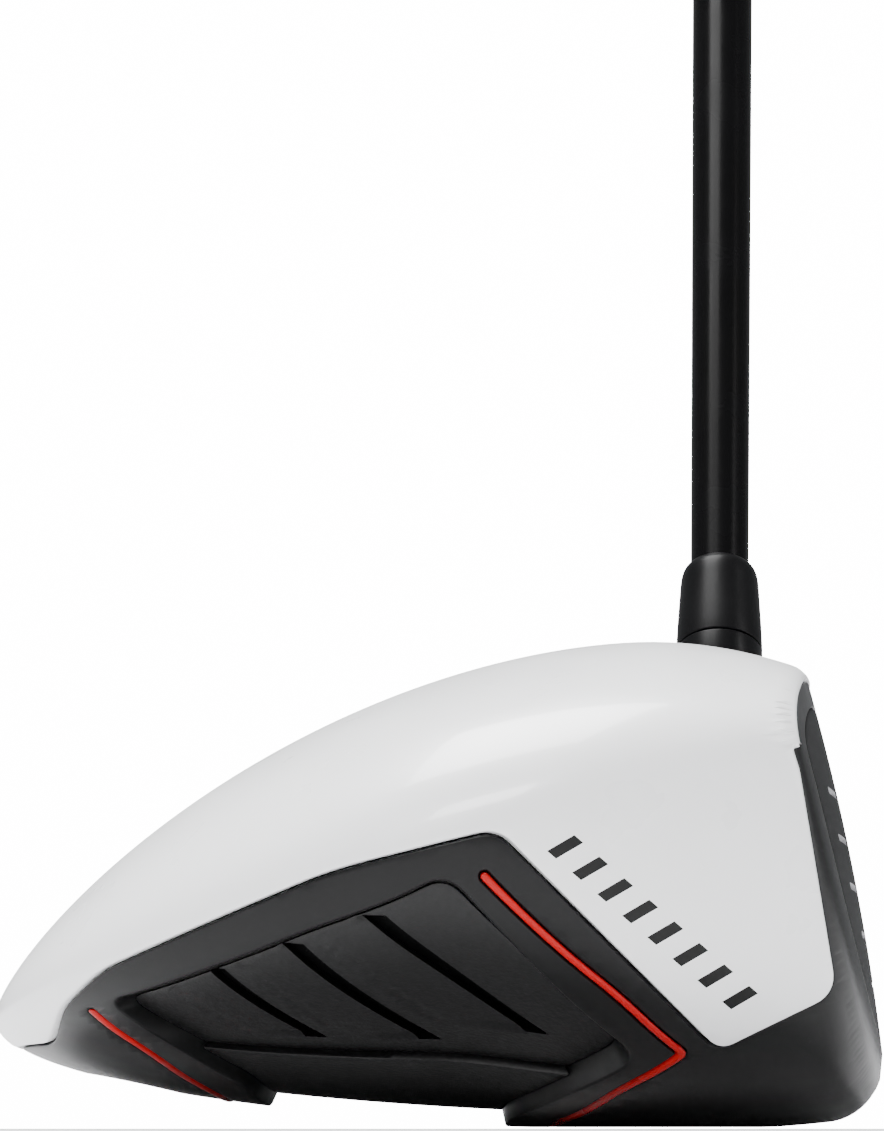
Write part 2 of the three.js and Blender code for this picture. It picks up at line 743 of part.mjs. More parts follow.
const gripButt = CLUB_LENGTH - CAP_WALL;
const shaftTop = gripButt - SHAFT_TOP_SINK;
function shaftRadius(along) {
  if (along < ferruleTop) {
    return SHAFT_TIP_RADIUS;
  }
  if (along < SHAFT_LOW_AT) {
    const t = (along - ferruleTop) / (SHAFT_LOW_AT - ferruleTop);
    return THREE.MathUtils.lerp(SHAFT_TIP_RADIUS, SHAFT_LOW_RADIUS, t);
  }
  const t = (along - SHAFT_LOW_AT) / (shaftTop - SHAFT_LOW_AT);
  return THREE.MathUtils.lerp(SHAFT_LOW_RADIUS, SHAFT_BUTT_RADIUS, t);
}
const shaftStations = [shaftFoot, ferruleTop, SHAFT_LOW_AT, shaftTop];
const shaft = onShaft([
  ...shaftStations.map((along) => [shaftRadius(along), along]),
  ...shaftStations.map((along) => [shaftRadius(along) - SHAFT_WALL, along]).reverse(),
]);
const plugFoot = shaftFoot + PLUG_SINK;
const plug = rod(SHAFT_TIP_RADIUS - SHAFT_WALL - GAP / 2, plugFoot, plugFoot + PLUG_LENGTH, AXIS_FRAME);

const gripFoot = gripButt - GRIP_LENGTH;
function aroundShaft(inside, outside, from, to) {
  return onShaft([
    [shaftRadius(from) + inside, from],
    [shaftRadius(from) + outside, from],
    [shaftRadius(to) + outside, to],
    [shaftRadius(to) + inside, to],
  ]);
}
const tape = aroundShaft(GAP, GAP + TAPE_WALL, gripFoot + TAPE_MARGIN, shaftTop - TAPE_MARGIN);
const gripInside = 2 * GAP + TAPE_WALL;
const gripMouthRadius = shaftRadius(gripFoot) + gripInside + GRIP_MOUTH_WALL;
const gripButtRadius = SHAFT_BUTT_RADIUS + gripInside + GRIP_BUTT_WALL;
const grip = onShaft([
  [shaftRadius(gripFoot) + gripInside, gripFoot],
  [gripMouthRadius - GRIP_LIP, gripFoot],
  [gripMouthRadius, gripFoot + GRIP_LIP_LENGTH],
  [gripButtRadius - GRIP_LIP, gripButt - GRIP_SWELL[0]],
  [gripButtRadius, gripButt - GRIP_SWELL[1]],
  [gripButtRadius, gripButt],
  [shaftRadius(shaftTop) + gripInside, gripButt],
]);
const cap = onShaft([
  [VENT_RADIUS, gripButt + GAP],
  [gripButtRadius, gripButt + GAP],
  [gripButtRadius, CLUB_LENGTH - CAP_CHAMFER],
  [gripButtRadius - CAP_CHAMFER, CLUB_LENGTH],
  [VENT_RADIUS, CLUB_LENGTH],
]);

// ---- Screws and weight ----
const washerTop = SCREW_WEB_AT - GAP;
const headTop = washerTop - WASHER_WALL - GAP;
const hoselScrew = cut(
  join(
    rod(SCREW_HEAD_RADIUS, headTop - SCREW_HEAD_LENGTH, headTop, AXIS_FRAME),
    rod(SCREW_RADIUS, headTop - SHARED, shaftFoot - SCREW_END_SPACE, AXIS_FRAME, THIN_STEPS),
  ),
  rod(SCREW_SOCKET_RADIUS, -PAST, headTop - SCREW_HEAD_LENGTH + SCREW_SOCKET_DEPTH, AXIS_FRAME, HEX_STEPS),
);
const washer = onShaft([
  [SCREW_RADIUS + GAP, washerTop - WASHER_WALL],
  [SCREW_HEAD_RADIUS, washerTop - WASHER_WALL],
  [SCREW_HEAD_RADIUS, washerTop],
  [SCREW_RADIUS + GAP, washerTop],
]);
const keeperFoot = SCREW_WEB_AT + SCREW_WEB_WALL + GAP;
const keeper = onShaft([
  [SCREW_RADIUS + GAP / 2, keeperFoot],
  [KEEPER_RADIUS, keeperFoot],
  [KEEPER_RADIUS, keeperFoot + KEEPER_LENGTH],
  [SCREW_RADIUS + GAP / 2, keeperFoot + KEEPER_LENGTH],
]);

const weightTop = WEIGHT_SINK + WEIGHT_LENGTH;
const weightHeadFloor = WEIGHT_SINK + WEIGHT_SCREW_HEAD_LENGTH + GAP;
const weight = toSolid(turned([
  [WEIGHT_SCREW_HEAD + GAP, WEIGHT_SINK],
  [WEIGHT_RADIUS - WEIGHT_CHAMFER, WEIGHT_SINK],
  [WEIGHT_RADIUS, WEIGHT_SINK + WEIGHT_CHAMFER],
  [WEIGHT_RADIUS, weightTop],
  [WEIGHT_SCREW_RADIUS + GAP, weightTop],
  [WEIGHT_SCREW_RADIUS + GAP, weightHeadFloor],
  [WEIGHT_SCREW_HEAD + GAP, weightHeadFloor],
], WEIGHT_FRAME));
const weightScrew = cut(
  join(
    rod(WEIGHT_SCREW_HEAD, WEIGHT_SINK, WEIGHT_SINK + WEIGHT_SCREW_HEAD_LENGTH, WEIGHT_FRAME),
    rod(
      WEIGHT_SCREW_RADIUS,
      WEIGHT_SINK + SHARED,
      WEIGHT_SINK + WEIGHT_SCREW_LENGTH,
      WEIGHT_FRAME,
      THIN_STEPS,
    ),
  ),
  rod(WEIGHT_SOCKET_RADIUS, -PAST, WEIGHT_SINK + WEIGHT_SOCKET_DEPTH, WEIGHT_FRAME, HEX_STEPS),
);

// ---- Assembly ----
const MATERIALS = {
  white: { color: 0xf2f3f4, roughness: 0.35, metalness: 0 },
  black: { color: 0x17181a, roughness: 0.4, metalness: 0.2 },
  face: { color: 0x1c1d20, roughness: 0.32, metalness: 0.6 },
  panel: { color: 0x26272a, roughness: 0.7, metalness: 0 },
  red: { color: 0xd4151b, roughness: 0.3, metalness: 0 },
  steel: { color: 0x9a9da1, roughness: 0.35, metalness: 1 },
  tungsten: { color: 0x55575b, roughness: 0.45, metalness: 1 },
  gloss: { color: 0x0d0e10, roughness: 0.15, metalness: 0 },
  rubber: { color: 0x18191a, roughness: 0.85, metalness: 0 },
  paper: { color: 0xd9cfae, roughness: 0.9, metalness: 0 },
};

const PIECES = [
  ['crown_shell', crown, 'white'],
  ['head_body', body, 'black'],
  ['face_plate', facePlate, 'face'],
  ['toe_panel', solePanel(1), 'panel'],
  ['heel_panel', solePanel(-1), 'panel'],
  ['keel_plate', keel, 'panel'],
  ['front_accent', accent(FRONT_ACCENT), 'red'],
  ['rear_accent', accent(REAR_ACCENT), 'red'],
  ['rear_weight', weight, 'tungsten'],
  ['rear_weight_screw', weightScrew, 'steel'],
  ['hosel_screw', hoselScrew, 'steel'],
  ['hosel_washer', washer, 'steel'],
  ['screw_keeper', keeper, 'steel'],
  ['adapter_sleeve', sleeve, 'gloss'],
  ['ferrule', ferrule, 'gloss'],
  ['shaft', shaft, 'gloss'],
  ['tip_plug', plug, 'rubber'],
  ['grip_tape', tape, 'paper'],
  ['grip', grip, 'rubber'],
  ['grip_cap', cap, 'rubber'],
];

const club = new THREE.Group();
club.name = 'golf_driver';
for (const [name, solid, material] of PIECES) {
  const mesh = new THREE.Mesh(toGeometry(solid), new THREE.MeshStandardMaterial(MATERIALS[material]));
  mesh.name = name;
  club.add(mesh);
}

export default club;
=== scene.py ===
import math
import bpy
import bmesh
import numpy as np
from mathutils import Matrix, Vector, geometry
from mathutils.kdtree import KDTree


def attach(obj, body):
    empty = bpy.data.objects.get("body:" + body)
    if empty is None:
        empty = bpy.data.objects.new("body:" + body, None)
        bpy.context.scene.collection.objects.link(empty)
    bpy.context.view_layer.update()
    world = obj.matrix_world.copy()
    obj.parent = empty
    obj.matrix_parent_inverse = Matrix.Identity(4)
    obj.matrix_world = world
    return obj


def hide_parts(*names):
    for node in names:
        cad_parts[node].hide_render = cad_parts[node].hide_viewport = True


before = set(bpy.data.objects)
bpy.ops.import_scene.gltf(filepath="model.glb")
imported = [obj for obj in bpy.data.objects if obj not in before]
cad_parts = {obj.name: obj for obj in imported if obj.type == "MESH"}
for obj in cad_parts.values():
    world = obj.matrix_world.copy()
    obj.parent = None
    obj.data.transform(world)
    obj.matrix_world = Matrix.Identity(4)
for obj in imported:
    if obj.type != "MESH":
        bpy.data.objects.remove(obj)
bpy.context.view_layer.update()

MM = 0.001

# ---- Head surface, in millimetres, as the CAD has it ----
LOFT = math.radians(10.5)
LIE = math.radians(60)
FACE_X, FACE_Y, FACE_Z, FACE_RADIUS = 20.0, -2.0, 32.0, 300.0
REAR_X, REAR_Z = -94.2, 14.3
APEX_X, APEX_Z = -7.0, 63.3
SOLE_DIP = 0.25
WIDEST_X, TOE_WIDTH, HEEL_WIDTH = -20.0, 62.0, 61.0
SHOULDER_X, SHOULDER_Z, SHOULDER_BOW = 11.7, 46.7, 1.5
TILT = math.radians(45)
TOP, TOE, SOLE, HEEL = 0.5 * math.pi, math.pi, 1.5 * math.pi, 2 * math.pi
SPAN = 118.0
ROUND = 45.0
FACE_SCALE = 0.93


def face_x(y, z):
    return FACE_X - math.tan(LOFT) * (z - FACE_Z) - ((y - FACE_Y) ** 2 + (z - FACE_Z) ** 2) / (2 * FACE_RADIUS)


def smooth(low, high, x):
    t = np.clip((x - low) / (high - low), 0, 1)
    return t * t * (3 - 2 * t)


def section(x, phi, inset, edge):
    c, s = np.cos(phi), np.sin(phi)
    rear = REAR_X + inset
    fade = (1 - np.clip((WIDEST_X - x) / (WIDEST_X - rear), 0, 1) ** 2) ** 0.55
    ahead = np.clip(x - WIDEST_X, 0, None) ** 2
    toe = (TOE_WIDTH - inset) * fade - 0.0095 * ahead - edge
    heel = (HEEL_WIDTH - inset) * fade - 0.0075 * ahead - edge
    crown = (1 - np.clip((APEX_X - x) / (APEX_X - rear), 0, 1) ** 1.8) ** 0.775
    crown = REAR_Z + (APEX_Z - inset - REAR_Z) * crown - 0.00925 * np.clip(x - APEX_X, 0, None) ** 2 - edge
    rise = 1 - (1 - np.clip((-15 - x) / (-15 - rear), 0, 1) ** 1.5) ** 0.46
    low = inset - SOLE_DIP
    sole = low + (REAR_Z - low) * rise + 0.0035 * np.clip(x, 0, None) ** 2 + edge
    run = (x - rear) / (SHOULDER_X - rear)
    shoulder = REAR_Z + (SHOULDER_Z - REAR_Z) * run + SHOULDER_BOW * np.sin(np.pi * np.clip(run, 0, 1))
    power = 2 / np.where(s >= 0, 2.1, 1.75 + 0.95 * smooth(-35, 5, x))
    width = np.where(c >= 0, heel, toe)
    height = np.where(s >= 0, crown - shoulder, shoulder - sole)
    return width * np.sign(c) * np.abs(c) ** power, shoulder + height * np.sign(s) * np.abs(s) ** power


def edge_radius(phi):
    s = np.sin(phi)
    return 3.0 + (np.where(s >= 0, 2.6, 7.0) - 3.0) * s * s


def front_x(phi, inset, face_inset):
    x = np.full(np.shape(phi), FACE_X)
    for _ in range(26):
        y, z = section(x, phi, inset, edge_radius(phi))
        x = (x + face_x(y, z) - face_inset) / 2
    return x


TURN = np.linspace(0, 3 * np.pi, 6001)
FRONT = front_x(TURN, 0.0, 0.0)


def side_point(t, phi, inset=0.0, face_inset=None):
    """The head surface at depth t behind the face edge, moved inward by inset."""
    t, phi, inset = np.broadcast_arrays(np.asarray(t, float), phi, inset)
    if face_inset is None and not inset.any():
        front = np.interp(phi, TURN, FRONT)
    else:
        front = front_x(phi, inset, inset if face_inset is None else face_inset)
    x = front + (REAR_X + inset - front) * t
    radius = edge_radius(phi)
    left = np.clip((radius - front + x) / radius, 0, 1)
    y, z = section(x, phi, inset, radius * (1 - np.sqrt(np.clip(1 - left * left, 0, 1))))
    return np.stack([x, y, z], -1)


def surface(a, phi, inset=0.0, face_inset=None):
    """Chart of the head: a below 0 is on the face, above 0 it runs back to the rear tip at SPAN."""
    a, phi, inset = np.broadcast_arrays(np.asarray(a, float), phi, inset)
    t = np.sin(np.clip(a, 0, SPAN) / SPAN * np.pi / 2)
    out = side_point(t, phi, inset, face_inset)
    on_face = a < 0
    if on_face.any():
        rim = out[on_face]
        reach = 1 + a[on_face] / ROUND
        y = FACE_Y + (rim[:, 1] - FACE_Y) * reach
        z = FACE_Z + (rim[:, 2] - FACE_Z) * reach
        out[on_face] = np.stack([face_x(y, z) - inset[on_face], y, z], -1)
    return out


def depth_to_a(t):
    return SPAN * 2 / np.pi * np.arcsin(np.clip(t, 0, 1))


def solve(x, target, low, high, measure):
    """Chart points at x where measure(points) is target; measure rises from low to high."""
    low, high = np.full(len(x), float(low)), np.full(len(x), float(high))
    for _ in range(34):
        mid = (low + high) / 2
        front = np.interp(mid, TURN, FRONT)
        t = (front - x) / (front - REAR_X)
        value = measure(side_point(t, mid))
        over = value > target
        high = np.where(over, mid, high)
        low = np.where(over, low, mid)
    phi = (low + high) / 2
    front = np.interp(phi, TURN, FRONT)
    return np.stack([depth_to_a((front - x) / (front - REAR_X)), phi], -1)


def sole_chart(path, side):
    """Outline points (x, v) of the sole, put on the chart. side is 1 for the toe, -1 for the heel."""
    x, v = path[:, 0], path[:, 1]
    def toe(p):
        return (-p[..., 1] * side + p[..., 2]) * math.sin(TILT)
    if side > 0:
        return solve(x, v, SOLE, TOE, toe)
    return solve(x, v, SOLE, HEEL, toe)


def side_chart(path, side):
    """Outline points (x, z) seen from the side, put on the chart."""
    def height(p):
        return p[..., 2]
    if side > 0:
        return solve(path[:, 0], path[:, 1], SOLE, TOP, height)
    return solve(path[:, 0], path[:, 1], SOLE, TOP + 2 * np.pi, height)


# ---- Outlines, in millimetres ----
CROWN_OUTLINE = [
    (-110, 9.8), (-84.3, 11, 1.5), (-81.6, 15.4, 1.5), (-75.6, 19.8, 2), (-61.6, 25, 4), (-44.7, 31.4, 4),
    (-24, 36.2, 2.5), (2.3, 9.6, 2), (16.8, 16.6, 3), (12.4, 43.8, 0.6), (11.6, 46.4, 0.6), (60, 80), (60, 100), (-110, 100),
]
HEEL_CROWN_OUTLINE = [
    (-110, 9.8), (-84.3, 11, 1.5), (-81.6, 15.4, 1.5), (-75.6, 19.8, 2), (-61.6, 25, 4), (-44.7, 31.4, 4),
    (-24, 36.2, 4), (11.6, 46.4, 2), (60, 80), (60, 100), (-110, 100),
]
RECESS_OUTLINE = [
    (-74.8, 37.4, 2.5), (-61.9, 47.1, 5), (-48.8, 55.5, 5), (-36.1, 61.4, 3), (-30, 64.6, 3.5), (-20.3, 53.2, 4),
    (-7.2, 37, 4), (-16.6, 25.3, 5), (-25.2, 10.2, 5), (-26.8, -2), (-57.6, -2), (-58.6, 11.8, 3), (-59.8, 18, 3),
    (-66.5, 29, 5),
]
FRONT_ACCENT = [(-25.5, 64.3), (-9.4, 48.4, 4), (-1.8, 37.6, 0.8), (-10.1, 28.2, 5), (-19.5, 8.7, 5), (-20.8, -2)]
REAR_ACCENT = [(-77.3, 33.8), (-70.6, 25.9, 4), (-64.1, 10.6, 4), (-63, -2)]
SLOTS = [((-62.1, 47.1), (-49.3, 31.2)), ((-51, 53.2), (-33.8, 31.2)), ((-39.8, 58.6), (-19.1, 35.9))]
CREASES = [((-67.7, 41.7), (-58.3, 31.4)), ((-57.9, 48.8), (-44.3, 30.8)), ((-46.8, 55), (-30, 33.6))]
BARS_FROM, BARS_TO, BAR_COUNT, BAR_WIDTH, BAR_HEIGHT = (-18.0, 33.4), (2.8, 15.6), 8, 1.4, 3.6
KEEL_HALF = 26.5
GAP = 0.3


def dense(points, step=0.7, closed=True):
    """An outline with its corners rounded, as points about step apart."""
    count = len(points)
    line = []
    for i, point in enumerate(points):
        here = np.array(point[:2], float)
        radius = point[2] if len(point) > 2 else 0
        if radius and (closed or 0 < i < count - 1):
            back = np.array(points[i - 1][:2], float) - here
            on = np.array(points[(i + 1) % count][:2], float) - here
            start = here + back / np.linalg.norm(back) * min(radius, np.linalg.norm(back) * 0.45)
            end = here + on / np.linalg.norm(on) * min(radius, np.linalg.norm(on) * 0.45)
            for t in np.linspace(0, 1, 9):
                line.append((1 - t) ** 2 * start + 2 * t * (1 - t) * here + t * t * end)
        else:
            line.append(here)
    if closed:
        line.append(line[0])
    line = np.array(line)
    out = [line[0]]
    for a, b in zip(line[:-1], line[1:]):
        parts = max(1, int(np.ceil(np.linalg.norm(b - a) / step)))
        for k in range(1, parts + 1):
            out.append(a + (b - a) * k / parts)
    out = np.array(out)
    keep = np.concatenate([[True], np.linalg.norm(np.diff(out, axis=0), axis=1) > 1e-4])
    return out[keep]


def shifted(line, distance, closed=True):
    """A dense line moved sideways; for a closed outline a positive distance is outward."""
    if closed:
        ring = line[:-1]
        before, after = np.roll(ring, 1, 0), np.roll(ring, -1, 0)
        area = np.sum(ring[:, 0] * after[:, 1] - after[:, 0] * ring[:, 1]) / 2
        along = (ring - before) / np.linalg.norm(ring - before, axis=1)[:, None]
        on = (after - ring) / np.linalg.norm(after - ring, axis=1)[:, None]
        sign = np.sign(area)
    else:
        step = np.diff(line, axis=0)
        step /= np.linalg.norm(step, axis=1)[:, None]
        ring, along, on, sign = line, np.vstack([step[:1], step]), np.vstack([step, step[-1:]]), 1.0
    normal = np.stack([along[:, 1] + on[:, 1], -along[:, 0] - on[:, 0]], -1)
    normal /= np.linalg.norm(normal, axis=1)[:, None]
    reach = np.clip(np.sum(normal * np.stack([along[:, 1], -along[:, 0]], -1), -1), 0.4, 1)
    moved = ring + normal * (sign * distance / reach)[:, None]
    return np.vstack([moved, moved[:1]]) if closed else moved


def distance(points, line):
    """Distance from points to a dense line, and whether they are inside it when it is closed."""
    best = np.full(len(points), 1e9)
    inside = np.zeros(len(points), bool)
    a, b = line[:-1], line[1:]
    ab = b - a
    size = np.maximum(np.sum(ab * ab, 1), 1e-12)
    for i in range(0, len(points), 4000):
        p = points[i:i + 4000, None, :]
        t = np.clip(np.sum((p - a) * ab, -1) / size, 0, 1)
        d = np.sqrt(np.min(np.sum((p - a - t[..., None] * ab) ** 2, -1), 1))
        best[i:i + 4000] = d
        straddle = (a[:, 1] > p[..., 1]) != (b[:, 1] > p[..., 1])
        with np.errstate(divide="ignore", invalid="ignore"):
            cross = a[:, 0] + (p[..., 1] - a[:, 1]) / (b[:, 1] - a[:, 1]) * ab[:, 0]
        inside[i:i + 4000] = np.sum(straddle & (p[..., 0] < cross), 1) % 2 == 1
    return best, inside


def signed(points, line):
    d, inside = distance(points, line)
    return np.where(inside, -d, d)


CROWN = {1: dense(CROWN_OUTLINE), -1: dense(HEEL_CROWN_OUTLINE)}
RECESS = dense(RECESS_OUTLINE)
FRONT_LINE = dense(FRONT_ACCENT, closed=False)
REAR_LINE = dense(REAR_ACCENT, closed=False)


# ---- Pieces cut from the head's chart ----
SLOT_HALF, SLOT_WALL, SLOT_DEPTH = 1.6, 0.35, 2.1
BEVELS = [(0.0, 1.0), (0.134, 0.5), (0.5, 0.134), (1.0, 0.0)]
WHITE_FRONT = 0.7 / 110
BODY_FRONT = 0.4 / 110


def rounded(d, radius):
    """How far a rounded edge drops at distance d inside its border."""
    left = np.clip(1 - d / radius, 0, 1)
    return radius * (1 - np.sqrt(np.clip(1 - left * left, 0, 1)))


def slot_relief(x, v):
    """Depth of the louvres below the panel's flat: wide slots, and slats that fall from their crease."""
    depth = np.zeros_like(x)
    for (top, foot), (crease_top, crease_foot) in zip(SLOTS, CREASES):
        slot_x = top[0] + (v - top[1]) * (foot[0] - top[0]) / (foot[1] - top[1])
        run = (crease_foot[0] - crease_top[0]) / (crease_foot[1] - crease_top[1])
        crease_x = crease_top[0] + (v - crease_top[1]) * run
        span = np.maximum(slot_x - SLOT_HALF - crease_x, 1.0)
        inside = smooth(-0.1, 0.9, top[1] - v) * smooth(-0.1, 0.9, v - foot[1])
        cut = smooth(0.0, SLOT_WALL, top[1] - v) * smooth(0.0, SLOT_WALL, v - foot[1])
        slope = 0.55 * np.clip((x - crease_x) / span, 0, 1) * (x < slot_x)
        crease = 0.22 * (1 - smooth(0.0, 0.55, np.abs(x - crease_x)))
        slot = SLOT_DEPTH * (1 - smooth(SLOT_HALF - SLOT_WALL, SLOT_HALF, np.abs(x - slot_x)))
        depth = np.maximum(depth, np.maximum((slope + crease) * inside, slot * cut))
    return depth


def in_slot(x, v):
    """Where a point lies inside one of the slots; those panel faces get the darker painted slot shade."""
    found = np.zeros(len(x), bool)
    for top, foot in SLOTS:
        slot_x = top[0] + (v - top[1]) * (foot[0] - top[0]) / (foot[1] - top[1])
        found |= (np.abs(x - slot_x) < SLOT_HALF) & (v < top[1]) & (v > foot[1])
    return found


def ring_points(side_step):
    """Chart points on rings of about even spacing over the whole head."""
    out = []
    deep = np.array([0.0, 0.03, 0.1, 0.2, 0.35, 0.6, 0.9, 1.3, 1.7, 2.2, 2.8, 3.5, 4.3, 5.2, 6.2, 7.2]) / 110
    starts = np.concatenate([[-3.0, -1.5], depth_to_a(deep)])
    rest = np.arange(starts[-1] + side_step, SPAN, side_step)
    for k, a in enumerate(np.concatenate([starts, rest])):
        probe = surface(np.full(181, a), np.linspace(TOP, TOP + 2 * np.pi, 181))
        around = np.sum(np.linalg.norm(np.diff(probe, axis=0), axis=1))
        count = max(10, int(around / side_step))
        cut = np.linspace(0, 1, 181)
        length = np.concatenate([[0], np.cumsum(np.linalg.norm(np.diff(probe, axis=0), axis=1))]) / max(around, 1e-6)
        places = np.interp(np.linspace(0, 1, count + 1), length, cut)
        if k % 2:
            middle = (places[1:] + places[:-1]) / 2
            places = np.concatenate([[0], middle, [1]])
        out.append(np.stack([np.full(len(places), a), TOP + 2 * np.pi * places], -1))
    tip = np.stack([np.full(9, SPAN), np.linspace(TOP, TOP + 2 * np.pi, 9)], -1)
    return out, tip


def fields(points):
    """Distances that say which piece a chart point belongs to."""
    p = surface(points[:, 0], points[:, 1])
    toe = points[:, 1] <= SOLE
    x = p[:, 0]
    v = (np.where(toe, -p[:, 1], p[:, 1]) + p[:, 2]) * math.sin(TILT)
    low = (points[:, 1] > TOE - 0.35) & (points[:, 1] < HEEL + 0.35)
    crown = np.full(len(points), -50.0)
    side = np.stack([x, p[:, 2]], -1)
    for pick, key in ((toe, 1), (~toe, -1)):
        need = pick & (p[:, 2] < 62)
        crown[need] = signed(side[need], CROWN[key])
    sole = np.stack([x, v], -1)
    recess, front, rear = (np.full(len(points), 50.0) for _ in range(3))
    recess[low] = signed(sole[low], RECESS)
    front[low] = distance(sole[low], FRONT_LINE)[0]
    rear[low] = distance(sole[low], REAR_LINE)[0]
    t = np.sin(np.clip(points[:, 0], 0, SPAN) / SPAN * np.pi / 2)
    return {"x": x, "v": v, "toe": toe, "t": t, "a": points[:, 0], "crown": crown, "recess": recess, "front": front, "rear": rear}


CONSTRAINTS = []


def constrain(chart):
    """A line the triangles follow. It stays on the chart and keeps no doubled points."""
    chart = chart[(chart[:, 0] > -3.5) & (chart[:, 0] < SPAN - 0.2)]
    if len(chart) < 2:
        return
    keep = np.concatenate([[True], np.abs(np.diff(chart, axis=0)).sum(1) > 1e-4])
    CONSTRAINTS.append(chart[keep])


def runs_of(line, keep):
    """The stretches of a line where keep is true."""
    cuts = np.where(np.diff(keep.astype(int)) != 0)[0] + 1
    return [line[run] for run in np.split(np.arange(len(line)), cuts) if keep[run[0]] and len(run) > 2]


def stadium(line, half):
    """A closed outline that follows an open line at half its width, with round ends."""
    left, right = shifted(line, half, closed=False), shifted(line, -half, closed=False)
    caps = []
    for end, before in ((line[-1], line[-2]), (line[0], line[1])):
        out = math.atan2(*(end - before)[::-1])
        turns = np.linspace(-math.pi / 2, math.pi / 2, 9)[1:-1] + out
        caps.append(end + half * np.stack([np.cos(turns), np.sin(turns)], -1))
    return np.vstack([left, caps[0], right[::-1], caps[1], left[:1]])


def crown_rings():
    for side in (1, -1):
        for offset in [-0.28 * d for d, _ in BEVELS] + [GAP + 0.28 * d for d, _ in BEVELS]:
            line = shifted(CROWN[side], offset)
            line = np.roll(line[:-1], -int(np.argmax(line[:-1, 1])), axis=0)
            for run in runs_of(line, (line[:, 0] > REAR_X + 1.2) & (line[:, 0] < 21) & (line[:, 1] < 60)):
                chart = side_chart(run, side)
                free = (np.abs(chart[:, 1] - SOLE) < np.pi - 0.02) & (np.abs(chart[:, 1] - SOLE) > 1e-4) & (chart[:, 0] > -0.5)
                for part in runs_of(chart, free):
                    constrain(part)


def sole_rings():
    for side in (1, -1):
        for offset in [0.3 * d for d, _ in BEVELS] + [-0.15 - 0.22 * d for d, _ in BEVELS]:
            line = shifted(RECESS, offset)[:-1]
            line = np.roll(line, -int(np.argmin(line[:, 1])), axis=0)
            for run in runs_of(line, line[:, 1] > -1.6):
                constrain(sole_chart(run, side))
        for path in (FRONT_LINE, REAR_LINE):
            constrain(sole_chart(path, side))
            for half in (0.25, 0.42, 0.5, 0.8, 0.9):
                line = stadium(path, half)[:-1]
                line = np.roll(line, -int(np.argmin(line[:, 1])), axis=0)
                for run in runs_of(line, line[:, 1] > -1.6):
                    constrain(sole_chart(run, side))
        for v in (KEEL_HALF - 0.25, KEEL_HALF - 0.12, KEEL_HALF, KEEL_HALF + GAP, KEEL_HALF + GAP + 0.22):
            xs = np.arange(-68, -10, 0.7)
            constrain(sole_chart(np.stack([xs, np.full(len(xs), v)], -1), side))
        for top, foot in SLOTS:
            ends = np.array([top, foot])
            for shift in (-SLOT_HALF, SLOT_WALL - SLOT_HALF, SLOT_HALF - SLOT_WALL, SLOT_HALF):
                t = np.linspace(0, 1, 36)[:, None]
                constrain(sole_chart(ends[0] * (1 - t) + ends[1] * t + [shift, 0], side))
            lean = (ends[1] - ends[0]) / (ends[0, 1] - ends[1, 1])
            for corner in (ends[0], ends[0] + lean * SLOT_WALL, ends[1], ends[1] - lean * SLOT_WALL):
                across = np.linspace(-SLOT_HALF, SLOT_HALF, 9)[:, None]
                constrain(sole_chart(corner + across * [1, 0], side))
        for top, foot in CREASES:
            t = np.linspace(0, 1, 30)[:, None]
            constrain(sole_chart(np.array(top) * (1 - t) + np.array(foot) * t, side))


def bars():
    """Plain slanted bars in a row on the toe side, as (x, z) parallelograms."""
    start, end = np.array(BARS_FROM), np.array(BARS_TO)
    along = (end - start) / np.linalg.norm(end - start)
    up = np.array([-along[1], along[0]])
    out = []
    for i in range(BAR_COUNT):
        foot = start + (end - start) * i / (BAR_COUNT - 1)
        lean = along * BAR_HEIGHT * 0.35
        corners = [foot, foot + along * BAR_WIDTH, foot + along * BAR_WIDTH + lean + up * BAR_HEIGHT, foot + lean + up * BAR_HEIGHT]
        out.append(dense([tuple(c) for c in corners], step=0.4))
    return out


def panel_points():
    """Closer chart points over the louvred panels, so the slats keep their shape."""
    out = []
    inner = shifted(RECESS, -0.9)
    xs, vs = np.meshgrid(np.arange(-76, -6, 0.75), np.arange(KEEL_HALF + 1.1, 65, 0.75))
    xs = xs + 0.375 * (np.arange(xs.shape[0]) % 2)[:, None]
    grid = np.stack([xs.ravel(), vs.ravel()], -1)
    grid = grid[distance(grid, inner)[1]]
    for side in (1, -1):
        out.append(sole_chart(grid, side))
    return np.vstack(out)


def triangulate():
    """One triangulation of the whole head that follows every border. Returns chart points and triangles."""
    crown_rings()
    sole_rings()
    for bar in bars():
        constrain(side_chart(bar, 1))
    for t in [WHITE_FRONT + 0.28 / 110 * d for d, _ in BEVELS] + [BODY_FRONT]:
        phis = np.linspace(TOP, TOP + 2 * np.pi, 420)
        CONSTRAINTS.append(np.stack([np.full(420, depth_to_a(t)), phis], -1))
    scale = np.array([1.0, ROUND])
    lines = [line * scale for line in CONSTRAINTS]
    fixed = np.vstack(lines)
    tree = KDTree(len(fixed))
    for i, (a, b) in enumerate(fixed):
        tree.insert((a, b, 0), i)
    tree.balance()
    rings, tip = ring_points(1.35)
    free = np.vstack(rings + [panel_points()]) * scale
    clear = np.array([tree.find((a, b, 0))[2] > 0.42 for a, b in free])
    seam = (np.abs(free[:, 1] - TOP * ROUND) < 1e-6) | (np.abs(free[:, 1] - (TOP + 2 * np.pi) * ROUND) < 1e-6)
    free = np.vstack([free[clear | seam], tip * scale])
    points = np.vstack([fixed, free])
    edges, start = [], 0
    for line in lines:
        edges += [(start + i, start + i + 1) for i in range(len(line) - 1)]
        start += len(line)
    out = geometry.delaunay_2d_cdt([Vector(p) for p in points], edges, [], 0, 1e-3)
    charted = np.array([tuple(p) for p in out[0]]) / scale
    triangles = np.array([f for f in out[2] if len(f) == 3])
    return charted, triangles


